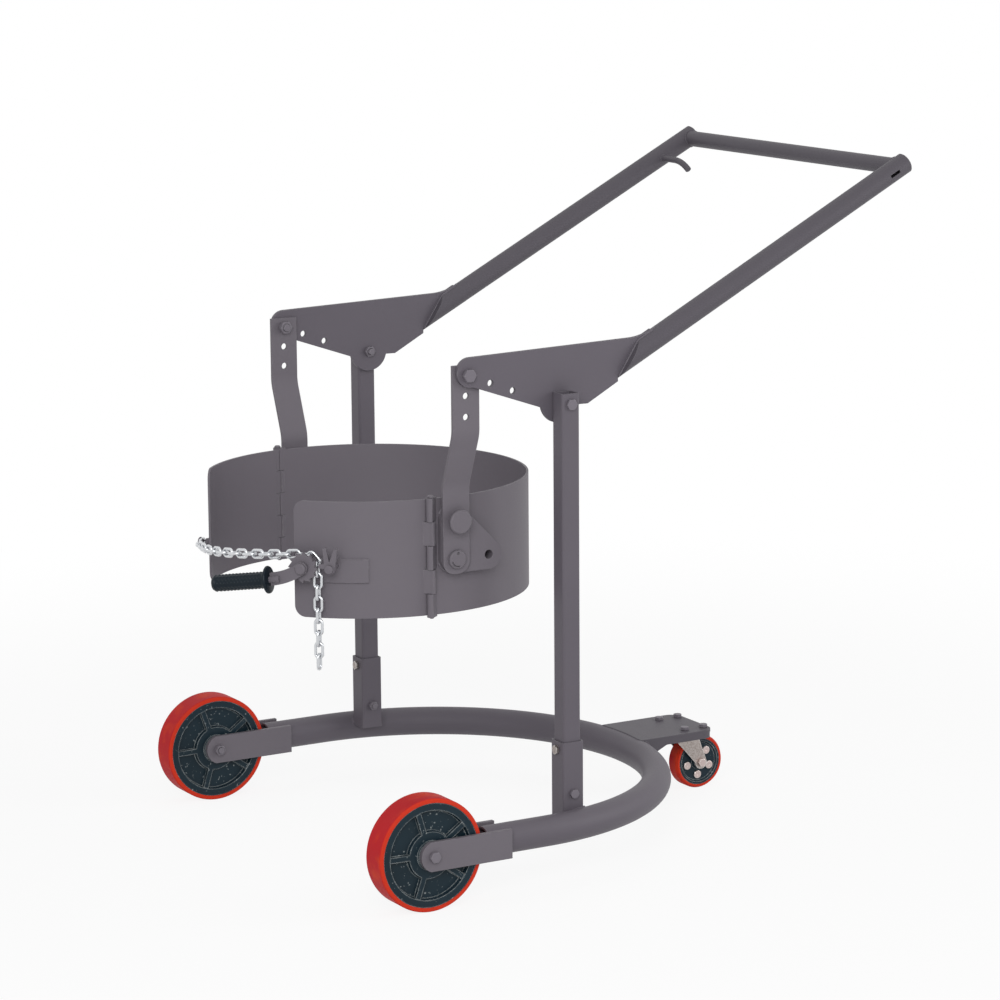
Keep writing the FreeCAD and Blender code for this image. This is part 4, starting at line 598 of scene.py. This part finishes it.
def piece(name, mesh, like, stands_for=()):
    """Turns a mesh into a piece that rides and is finished like a CAD node."""
    bmesh.ops.recalc_face_normals(mesh, faces=mesh.faces)
    data = bpy.data.meshes.new(name)
    mesh.to_mesh(data)
    mesh.free()
    data.polygons.foreach_set("use_smooth", [True] * len(data.polygons))
    data.set_sharp_from_angle(angle=SHARP)
    data.materials.append(finish_of[like])
    item = put(name, data)
    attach(item, body_of[like])
    if stands_for:
        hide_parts(*stands_for)
    print(item.name, "points:", len(data.vertices))


print("bodies that pieces can ride on:", sorted(set(body_of.values())))

# %% [markdown]
# A bolt's rings run from the top of its head to the end of its thread. A thread is a groove that moves
# along the axis as it goes round, so the radius of each point follows from its height and its turn.
# The groove runs out into the plain shank, and the end is tapered, so that a nut starts easily.

# %% Rings of a bolt
RING_POINTS = 48
TURN_STEPS = 4
CHAMFER = math.tan(math.radians(30))
SLACK = 0.1 * MM
washer_share = 0.95
lip_share = 0.04
pitch_share = 0.15
groove_share = 0.5
taper_share = 0.4
thread_share = 0.8
thread_long = 3.2
taper_long = 0.8


def span(points):
    """The lowest and the highest of some points."""
    heights = [point.height for point in points]
    return min(heights), max(heights)


def level(radius, height):
    """A round and level ring."""
    return [(radius, height)] * RING_POINTS


def hexagon(solid):
    """The radius of a solid's washer face, and the radius of its hexagon at each of a ring's points."""
    sixth = math.pi / 3
    flats = solid.widest * math.cos(sixth / 2)
    off_flat = [(turn - solid.rim[0].angle) % sixth - sixth / 2 for turn in turns(RING_POINTS)]
    return washer_share * flats, [flats / math.cos(turn) for turn in off_flat]


def between(start, end, steps):
    """Values at even steps from start to end."""
    return [start + (end - start) * n / steps for n in range(steps + 1)]


def thread_rings(shank, seat, end):
    """The thread at the end of a shank that starts at the head's seat."""
    pitch = pitch_share * 2 * shank
    depth = groove_share * pitch
    start = end - min(thread_long * shank, thread_share * (end - seat))
    steps = int((end - start) / pitch * TURN_STEPS)
    rings = []
    for step, height in enumerate(between(start, end, steps)):
        taper = 1 - min(1, max(0, (end - height) / (taper_long * pitch)))
        run_in = min(1, step / TURN_STEPS)
        phases = [((height - start) / pitch - n / RING_POINTS) % 1 for n in range(RING_POINTS)]
        grooves = [depth * (1 - abs(2 * phase - 1)) * run_in for phase in phases]
        rings.append([(shank - groove - taper_share * depth * taper, height) for groove in grooves])
    return rings


def bolt_rings(solid):
    """Head, washer face, shank and thread of a bolt, along the axis from the head's top."""
    if span(solid.rest)[0] < span(solid.rim)[0] - SLACK:
        solid.turn_over()
    top, seat = span(solid.rim)
    shank = max(point.radius for point in solid.rest)
    washer, hexagonal = hexagon(solid)
    lip = seat - lip_share * 2 * shank
    head = [level(washer, top), [(radius, top + (radius - washer) * CHAMFER) for radius in hexagonal],
            [(radius, lip) for radius in hexagonal], level(washer, lip), level(washer, seat),
            level(shank, seat)]
    return head + thread_rings(shank, seat, span(solid.rest)[1])


print("rings in the thread of a 12 mm bolt:", len(thread_rings(6 * MM, 0, 40 * MM)))

# %% [markdown]
# A nut is chamfered on both faces. Its rings go round the outside and back through the bore, so the
# skin closes on itself. A solid whose inner points reach past the hexagon is a bolt, and one whose
# inner points stay within it is a nut.

# %% Cut the bolts and nuts
FASTENERS = ("axle_bolts", "axle_nuts", "socket_bolts", "clamp_screws", "pivot_bolts", "pivot_nuts",
             "hanger_bolts", "caster_bolts", "caster_axle")
sink_share = 0.1


def nut_rings(solid):
    """A nut, as rings that close on themselves through the bore."""
    low, high = span(solid.rim)
    bore = max(point.radius for point in solid.rest)
    washer, hexagonal = hexagon(solid)
    sink = sink_share * bore
    return [level(bore + sink, low), level(washer, low),
            [(radius, low + (radius - washer) * CHAMFER) for radius in hexagonal],
            [(radius, high - (radius - washer) * CHAMFER) for radius in hexagonal],
            level(washer, high), level(bore + sink, high), level(bore, high - sink), level(bore, low + sink)]


for name in FASTENERS:
    mesh = bmesh.new()
    for points, faces in solids_of(name):
        solid = Turned(points, faces)
        rim_low, rim_high = span(solid.rim)
        low, high = span(solid.rest)
        if low < rim_low - SLACK or high > rim_high + SLACK:
            stack(mesh, solid.spot, bolt_rings(solid))
        else:
            stack(mesh, solid.spot, nut_rings(solid), closed=True)
    piece(name + "_cut", mesh, name, [name])

# %% [markdown]
# ## The grip
# The ratchet's lever ends in a moulded grip: a round flange that keeps the hand from the chain, and a
# sleeve with rows of small domes. The plain CAD grip gives its place, its length, and the radius of
# the flange and of the sleeve.

# %% Measure the grip
grip = Turned(*solids_of("ratchet_grip")[0])
low, high = span(grip.points)
grip_long = high - low
flange_height = grip.rim[0].height
from_flange = 1 if flange_height - low < high - flange_height else -1
flange_face = low if from_flange > 0 else high
flange_radius = grip.widest
sleeve_radius = max(point.radius for point in grip.rest
                    if 0.5 < abs(point.height - flange_face) / grip_long < 0.95)
print("grip length in mm:", round(grip_long / MM, 1), "sleeve radius in mm:", round(sleeve_radius / MM, 1))

# %% [markdown]
# A dome is no more than a height above the turned form, so the same rings make it: a ring's radius is
# raised where it crosses a dome. The flange, its neck and the round end are short lists of rings, in
# millimetres: out from the flange or sleeve, and along.

# %% Mould the grip
DOME_ROWS = 14
DOME_POINTS = 8
FLANGE = ((-1.6, 0), (-0.8, 0.4), (0, 2), (0, 3.6), (-0.7, 4.2), (-2, 4.7))
NECK = ((2.5, 5.6), (0.4, 7.5))
ROUND_END = ((-0.9, 9), (-0.4, 7.5), (0, 6), (-1.1, 4), (-2.2, 2), (-3.2, 0.7), (-4.6, 0))
dome_rise = 0.9 * MM
dome_pitch = 6.5 * MM
dome_long = 2.5 * MM
dome_wide = 2.1 * MM
dome_ring_gap = 0.8 * MM
neck_end = 11 * MM
sleeve_start = 13 * MM
sleeve_end = grip_long - 11 * MM
valley = sleeve_radius - dome_rise


def dome(n, along):
    """How far the sleeve is raised at a ring's point n and a distance along it."""
    row, offset = divmod(n, DOME_POINTS)
    shift = 0.5 if row % 2 else 0.0
    row_wide = 2 * math.pi * sleeve_radius / DOME_ROWS
    beside = (offset / DOME_POINTS - 0.5) * row_wide / dome_wide
    ahead = ((along / dome_pitch + shift) % 1 - 0.5) * dome_pitch / dome_long
    return dome_rise * math.sqrt(max(0, 1 - beside * beside - ahead * ahead))


def grip_ring(radius, along, domed=False):
    """A ring of the grip at a distance from the flange's face."""
    rises = [dome(n, along - sleeve_start) if domed else 0 for n in range(DOME_ROWS * DOME_POINTS)]
    return [(radius + rise, flange_face + from_flange * along) for rise in rises]


rings = [grip_ring(flange_radius + out * MM, along * MM) for out, along in FLANGE]
rings += [grip_ring(sleeve_radius + out * MM, along * MM) for out, along in NECK]
rings.append(grip_ring(valley, neck_end))
steps = int((sleeve_end - sleeve_start) / dome_ring_gap)
rings += [grip_ring(valley, along, domed=True) for along in between(sleeve_start, sleeve_end, steps)]
rings += [grip_ring(sleeve_radius + out * MM, grip_long - from_end * MM) for out, from_end in ROUND_END]
mesh = bmesh.new()
stack(mesh, grip.spot, rings)
piece("ratchet_grip_moulded", mesh, "ratchet_grip", ["ratchet_grip"])

# %% [markdown]
# ## Tilt pins
# The cradle hangs on two tilt pins, whose heads show on the outside of the hanger arms. A pin spanner
# holds them by a dimple and a curved slot in the face of each head. The face is a row of rings, which
# are pressed in where they cross the dimple or the slot.

# %% A spanner's dimple and slot
HEAD_POINTS = 120
SLOT_FROM = 200
SLOT_TO = 280
recess = 3 * MM
recess_wall = 0.5 * MM
dimple_radius = 2.6 * MM
dimple_up = 11 * MM
slot_ring = 12 * MM
slot_half = 1.4 * MM


def pressed_in(across, up):
    """How deep the dimple or the slot is at a place on the face of a head."""
    turn = math.degrees(math.atan2(up, across)) % 360
    past = math.radians(max(SLOT_FROM - turn, turn - SLOT_TO, 0)) * slot_ring
    in_dimple = dimple_radius - math.hypot(across, up - dimple_up)
    in_slot = slot_half - math.hypot(math.hypot(across, up) - slot_ring, past)
    return recess * min(1, max(0, in_dimple, in_slot) / recess_wall)


print("depth of the dimple in mm:", round(pressed_in(0, dimple_up) / MM, 1))

# %% [markdown]
# The pin itself is turned: a shank, and a round head with a chamfer. Both heads look alike, each one
# seen from its own side of the trolley.

# %% Tilt pins
face_ring_gap = 0.5 * MM


def head_ring(solid, radius, height, outward):
    """A ring of a head's face, pressed in where the spanner goes."""
    ring = []
    for turn in turns(HEAD_POINTS):
        place = solid.spot(radius, turn, height) - solid.centre
        ring.append((radius, height - pressed_in(-outward * place.x, place.z)))
    return ring


mesh = bmesh.new()
for points, faces in solids_of("trunnion_pins"):
    solid = Turned(points, faces)
    outward = 1 if points[0].y > 0 else -1
    if solid.axis.y * outward < 0:
        solid.turn_over()
    foot, face = span(solid.points)
    seat, edge = span(solid.rim)
    shank = max(point.radius for point in solid.points if point.height < foot + SLACK)
    flat = max(point.radius for point in solid.points if point.height > face - SLACK)
    outside = [(shank, foot), (shank, seat), (solid.widest, seat), (solid.widest, edge), (flat, face)]
    rings = [[pair] * HEAD_POINTS for pair in outside]
    steps = int(flat / face_ring_gap)
    rings += [head_ring(solid, flat * (1 - n / steps), face, outward) for n in range(1, steps - 1)]
    stack(mesh, solid.spot, rings)
piece("trunnion_pins_turned", mesh, "trunnion_pins", ["trunnion_pins"])

# %% [markdown]
# ## Weld beads
# The plates and tubes are joined by welding. A bead is laid as overlapping drops, so its back is
# scaled. It is made here as a tube along a path, whose radius swells at each drop. The paths come
# from the shapes that meet: a square socket on a bent tube, a plate on a cylinder, a tube on a tube.
# The first tool walks along a path in even steps, so that all drops are of one length.

# %% Even steps along a path


def even_points(path, spacing, closed=False):
    """Points at an even spacing along a path."""
    path = path + path[:1] if closed else path
    lengths = [0.0]
    for a, b in zip(path, path[1:]):
        lengths.append(lengths[-1] + (b - a).length)
    count = max(4, int(lengths[-1] / spacing))
    points = []
    place = 0
    for n in range(count if closed else count + 1):
        wanted = lengths[-1] * n / count
        while lengths[place + 1] < wanted - 1e-9:
            place += 1
        share = (wanted - lengths[place]) / (lengths[place + 1] - lengths[place])
        points.append(path[place].lerp(path[place + 1], share))
    return points


print("points on a path of 40 mm:", len(even_points([Vector(), Vector((40 * MM, 0, 0))], 5 * MM)))

# %% [markdown]
# At each step a ring of points stands across the path. Its sides are carried on from the ring before,
# so that the tube doesn't twist. Every fourth ring starts a new drop, and an open bead has thin ends.

# %% Lay a bead along a path
BEAD_SIDES = 10
DROP_STEPS = 4
END_STEPS = 6
drop_share = 0.9
swell = 0.16
end_share = 0.45


def lay_bead(mesh, path, size, closed):
    """Adds a scaled bead of a radius along a path."""
    points = even_points(path, drop_share * size / DROP_STEPS, closed)
    last = len(points) - 1
    side = None
    rings = []
    for n, point in enumerate(points):
        before = points[n - 1] if n or closed else point
        after = points[(n + 1) % len(points)] if n < last or closed else point
        along = (after - before).normalized()
        side = along.orthogonal() if side is None else side
        side = (side - along * side.dot(along)).normalized()
        other = along.cross(side)
        phase = n % DROP_STEPS / DROP_STEPS
        radius = size * (1 - swell + swell * math.sqrt(1 - phase * phase))
        if not closed:
            radius *= min(1, end_share + min(n, last - n) / END_STEPS)
        around = [side * math.cos(turn) + other * math.sin(turn) for turn in turns(BEAD_SIDES)]
        rings.append([mesh.verts.new(point + out * radius) for out in around])
    join_rings(mesh, rings, closed)


def welds(name, paths, like, size=3 * MM, closed=False):
    """One piece of weld beads that rides and is painted like a CAD node."""
    mesh = bmesh.new()
    for path in paths:
        lay_bead(mesh, path, size, closed)
    piece(name, mesh, like)


print("drops in a 3 mm bead, per 100 mm:", round(100 / (drop_share * 3)))

# %% [markdown]
# The posts stand in square sockets, which are cut to sit on the round of the base tube. Each bead
# follows the socket's outer half over the tube: the outline is drawn on the floor, and the height of
# the tube above it gives the path.

# %% Sockets on the base tube
FRONT_STEPS = 40
FLANK_STEPS = 20
bow_low, bow_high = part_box("base_bow")
tube_radius = (bow_high.z - bow_low.z) / 2
bow_z = (bow_high.z + bow_low.z) / 2
bow_radius = bow_high.y - tube_radius
bend_x = bow_high.x - tube_radius - bow_radius


def tube_height(x, y):
    """Height of the base tube's upper side above a point of the floor, or None beside the tube."""
    off = math.hypot(max(0, x - bend_x), y) - bow_radius
    return bow_z + math.sqrt(tube_radius ** 2 - off ** 2) if abs(off) < tube_radius else None


paths = []
for name in ("socket_left", "socket_right"):
    low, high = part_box(name)
    centre = (low + high) / 2
    outward = 1 if centre.y > 0 else -1
    half = (high.x - low.x) / 2
    outline = [(-half, back) for back in between(-half, 0, FLANK_STEPS)]
    outline += [(x, 0) for x in between(-half, half, FRONT_STEPS)]
    outline += [(half, back) for back in between(0, -half, FLANK_STEPS)]
    path = []
    for x, back in outline:
        y = centre.y + outward * (half + back)
        height = tube_height(centre.x + x, y)
        if height and height > low.z:
            path.append(Vector((centre.x + x, y, height)))
    paths.append(path)
welds("socket_welds", paths, "socket_left")

# %% [markdown]
# The wheel straps lie flat against the ends of the base tube. Their beads fill the grooves above and
# below, and close the straps' rear ends. All of these are straight, so a path needs only its two ends.

# %% Straps on the base tube
strap_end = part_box("fork_straps")[1].x
groove_start = bow_low.x + 2 * MM
groove = 0.6 * tube_radius
groove_out = math.sqrt(tube_radius ** 2 - groove ** 2) + 2.2 * MM
end_out = tube_radius + 1 * MM
end_x = strap_end + 0.5 * MM
end_reach = 0.8 * groove
paths = []
for side in (-1, 1):
    for layer in (-1, 1):
        y = side * bow_radius + layer * groove_out
        for z in (bow_z - groove, bow_z + groove):
            paths.append([Vector((x, y, z)) for x in (groove_start, strap_end)])
        y = side * bow_radius + layer * end_out
        paths.append([Vector((end_x, y, z)) for z in (bow_z - end_reach, bow_z + end_reach)])
welds("strap_welds", paths, "fork_straps", 3.2 * MM)

# %% [markdown]
# The tail plate is folded from one sheet, and its front edges are cut round to meet the bend of the
# tube. One bead runs over the top along the bend, and one runs down each side, where the path is the
# round of the tube at each height.

# %% Tail plate on the base tube
TOP_STEPS = 40
SIDE_STEPS = 30
tail_low, tail_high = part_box("tail_plate")
seam_ring = bow_radius + 0.12 * tube_radius
seam_z = tail_high.z - 1.2 * MM
top_half = tail_high.y - 4 * MM
side_top = tail_high.z - 3 * MM
side_low = tail_low.z + 3 * MM


def on_bend(ring, y, z):
    """A point behind the bend, on a ring round the bend's centre."""
    return Vector((bend_x + math.sqrt(ring ** 2 - y ** 2), y, z))


paths = [[on_bend(seam_ring, y, seam_z) for y in between(-top_half, top_half, TOP_STEPS)]]
heights = between(side_top, side_low, SIDE_STEPS)
tube_rings = [bow_radius + math.sqrt(max(0, tube_radius ** 2 - (z - bow_z) ** 2)) for z in heights]
for y in (-tail_high.y, tail_high.y):
    paths.append([on_bend(ring, y, z) for ring, z in zip(tube_rings, heights)])
welds("tail_welds", paths, "tail_plate")

# %% [markdown]
# Each side boss is a thick plate round three holes, cut hollow to sit on the round band. Its bead
# follows the boss's outline over the band, and stops short of the hinge, which needs its room. The
# outline is three arcs, one round each hole, and the tilt axis and the lock knob give their centres.

# %% Bosses on the band
ARC_STEPS = 16
clamp = record["mounts"][0]
joint_of = {joint["name"]: joint for joint in record["behaviour"]["joints"]}
band_x = clamp["pos_m"][0]
band_wall = 4 * MM
band_outer = clamp["dims"]["r_mm"] * MM + band_wall
tilt = Vector(joint_of["tilt"]["pos_m"])
boss_radius = tilt.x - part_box("side_bosses")[0].x
knob_low, knob_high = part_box("lock_plunger_left")
lock_pitch = (knob_low.z + knob_high.z) / 2 - tilt.z
arcs = ((0, 0, 195, 270), (lock_pitch, 0, 270, 405), (0, lock_pitch, 45, 160))
outline = []
for x, z, start, end in arcs:
    for angle in between(math.radians(start), math.radians(end), ARC_STEPS):
        arc_x = tilt.x + x + boss_radius * math.cos(angle)
        outline.append(Vector((arc_x, 0, tilt.z + z + boss_radius * math.sin(angle))))
fine = even_points(outline, 3 * MM)
paths = []
for side in (-1, 1):
    paths.append([Vector((p.x, side * math.sqrt(band_outer ** 2 - (p.x - band_x) ** 2), p.z)) for p in fine])
welds("boss_welds", paths, "side_bosses")

# %% [markdown]
# ## Plate edges at the hinges
# Each flap hangs on five knuckles: three belong to the saddle, two to the flap. Beside a knuckle of the
# other plate, a plate's edge is ground hollow, so that it reaches under the round and no daylight
# shows between them. The hollow is an arc round the hinge's axis, so it clears the knuckle at every
# opening. The first step is the outline of such an edge, seen from above.

# %% Outline of a ground edge
UP = Vector((0, 0, 1))
HOLLOW_STEPS = 8
knuckle_radius = 8 * MM
hinge_gap = 0.5 * MM
skin_inset = 0.05 * MM
band_middle = Vector((band_x, 0, 0))


def lip_outline(hinge, to_front):
    """The outline of a ground edge: the plate's inside, its outside, and the hollow round the axis."""
    radial = Vector((hinge.x - band_x, hinge.y, 0))
    away = radial.length
    radial.normalize()
    along = (UP if hinge.y > 0 else -UP).cross(radial) * to_front
    edge = (knuckle_radius + 2 * hinge_gap) / away
    hollow = knuckle_radius + hinge_gap + skin_inset
    outside = band_outer - skin_inset
    inside = band_outer - band_wall + skin_inset
    rim = radial * math.cos(edge) + along * math.sin(edge)
    points = [band_middle + rim * ring for ring in (inside, outside)]
    for drop in between(away - outside, away - inside, HOLLOW_STEPS):
        points.append(band_middle + radial * (away - drop) + along * math.sqrt(hollow ** 2 - drop ** 2))
    return points


hinges = {side: Vector(joint_of[side + "_flap_open"]["pos_m"]) for side in ("left", "right")}
print("points of an outline:", len(lip_outline(hinges["left"], 1)))

# %% [markdown]
# The outline is drawn out along the hinge, from the lower to the upper end of every second knuckle.
# The flaps have their ground edges beside the saddle's knuckles, and the saddle beside the flaps'.

# %% Ground edges at the hinges
KNUCKLES = 5
flap_low, flap_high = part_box("flap_left")
row_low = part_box("saddle")[0].z
row_pitch = (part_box("saddle")[1].z - row_low) / KNUCKLES


def lips(name, like, sides, first_row, to_front):
    """One piece of ground edges beside every second knuckle."""
    mesh = bmesh.new()
    for side in sides:
        outline = lip_outline(hinges[side], to_front)
        for row in range(first_row, KNUCKLES, 2):
            low = max(flap_low.z + skin_inset, row_low + row * row_pitch + hinge_gap)
            high = min(flap_high.z - skin_inset, row_low + (row + 1) * row_pitch - hinge_gap)
            join_rings(mesh, [[mesh.verts.new((p.x, p.y, z)) for p in outline] for z in (low, high)])
    piece(name, mesh, like)


for side in hinges:
    lips("flap_" + side + "_lips", "flap_" + side, [side], first_row=0, to_front=1)
lips("saddle_lips", "saddle", hinges, first_row=1, to_front=-1)

# %% [markdown]
# ## Welds on the flaps and on the handle
# The ratchet's base plate is bent to the band and welded all round. Its bead goes from corner to
# corner on the band's outside, where a place is an angle and a height.

# %% Ratchet base
EDGE_STEPS = 24


def round_band(angle, height):
    """A point on the band's outside: the angle is measured from the front, to the left."""
    return Vector((band_x - band_outer * math.cos(angle), -band_outer * math.sin(angle), height))


def band_angles(name):
    """The lowest and the highest angle that a CAD node has on the band."""
    angles = [math.atan2(-vert.co.y, band_x - vert.co.x) for vert in nodes[name].data.vertices]
    return min(angles), max(angles)


first, last = band_angles("ratchet_base")
low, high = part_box("ratchet_base")
corners = [(first, low.z), (last, low.z), (last, high.z), (first, high.z)]
path = []
for (angle, z), (next_angle, next_z) in zip(corners, corners[1:] + corners[:1]):
    edge = zip(between(angle, next_angle, EDGE_STEPS), between(z, next_z, EDGE_STEPS))
    path += [round_band(*place) for place in edge][:-1]
welds("ratchet_base_weld", [path], "ratchet_base", 2.2 * MM, closed=True)

# %% [markdown]
# The chain's anchor stud stands on the other flap, in a ring of weld. A flat ring would stand off the
# round band at its sides, so it is drawn in angles and heights too.

# %% Chain anchor
RING_STEPS = 36
first, last = band_angles("chain_anchor")
low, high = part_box("chain_anchor")
middle = (first + last) / 2
stud_z = (low.z + high.z) / 2
stud_radius = (high.z - low.z) / 2
path = []
for turn in turns(RING_STEPS):
    angle = middle + stud_radius * math.cos(turn) / band_outer
    path.append(round_band(angle, stud_z + stud_radius * math.sin(turn)))
welds("anchor_weld", [path], "chain_anchor", 2 * MM, closed=True)

# %% [markdown]
# The crossbar is cut hollow at both ends to fit the side tubes. The bead follows the line where the
# two cylinders meet. The handle's run from its foot to the crossbar gives the tubes' direction.

# %% Crossbar
MEETING_STEPS = 48
handle_reach = Vector((601, 0, 313)) * MM
handle_run = handle_reach.normalized()
handle_side = (UP - handle_run * UP.dot(handle_run)).normalized()
bar_low, bar_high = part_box("handle_crossbar")
bar = (bar_low + bar_high) / 2
bar_radius = (bar_high.z - bar_low.z) / 2
plate_low, plate_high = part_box("lever_plate_right")
plate_y = (plate_low.y + plate_high.y) / 2
handle_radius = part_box("handle_tube_right")[1].y - plate_y


def tube_meeting(centre, radius, side):
    """The line where a round bar along Y meets a handle tube from within."""
    path = []
    for turn in turns(MEETING_STEPS):
        out = Vector((math.cos(turn), 0, math.sin(turn))) * radius
        y = plate_y - math.sqrt(handle_radius ** 2 - out.dot(handle_side) ** 2)
        path.append(Vector((centre.x + out.x, side * y, centre.z + out.z)))
    return path


bar_paths = [tube_meeting(bar, bar_radius, side) for side in (-1, 1)]
welds("crossbar_welds", bar_paths, "handle_crossbar", 2.6 * MM, closed=True)

# %% [markdown]
# The peg is a bent rod on the inside of one handle tube. Its foot is the end that lies farthest out,
# and it is welded in the same way.

# %% Peg
foot_depth = 1 * MM
peg_points = [vert.co for vert in nodes["handle_peg"].data.vertices]
peg_foot = max(point.y for point in peg_points)
foot_points = [point for point in peg_points if point.y > peg_foot - foot_depth]
peg = sum(foot_points, Vector()) / len(foot_points)
peg_radius = max((point - peg).length for point in foot_points)
welds("peg_weld", [tube_meeting(peg, peg_radius, 1)], "handle_peg", 2 * MM, closed=True)

# %% [markdown]
# Each lever plate sits in a slot sawn into its tube. The tube's foot is cut at a slant and closed. The
# bead runs up the slant on both faces of the plate, and on along the slot.

# %% Lever plates in the handle tubes
foot_slant = math.radians(57)
slot_long = 90 * MM
bead_start = 3 * MM
seam_out = (plate_high.y - plate_low.y) / 2 + 0.8 * MM
seam_up = math.sqrt(handle_radius ** 2 - seam_out ** 2)
foot = bar - handle_reach
heel = foot - handle_side * handle_radius
heel += handle_run * (foot.x - heel.x) / handle_run.x
slant = Vector((math.cos(foot_slant), 0, math.sin(foot_slant)))
slant_top = heel + slant * (handle_radius + seam_up) / slant.dot(handle_side)
slot_top = foot + handle_run * slot_long + handle_side * seam_up
seam = (heel + slant * bead_start, slant_top, slot_top)
paths = []
for side in (-1, 1):
    for y in (side * plate_y - seam_out, side * plate_y + seam_out):
        paths.append([Vector((spot.x, y, spot.z)) for spot in seam])
welds("lever_plate_welds", paths, "lever_plate_left", 2.2 * MM)
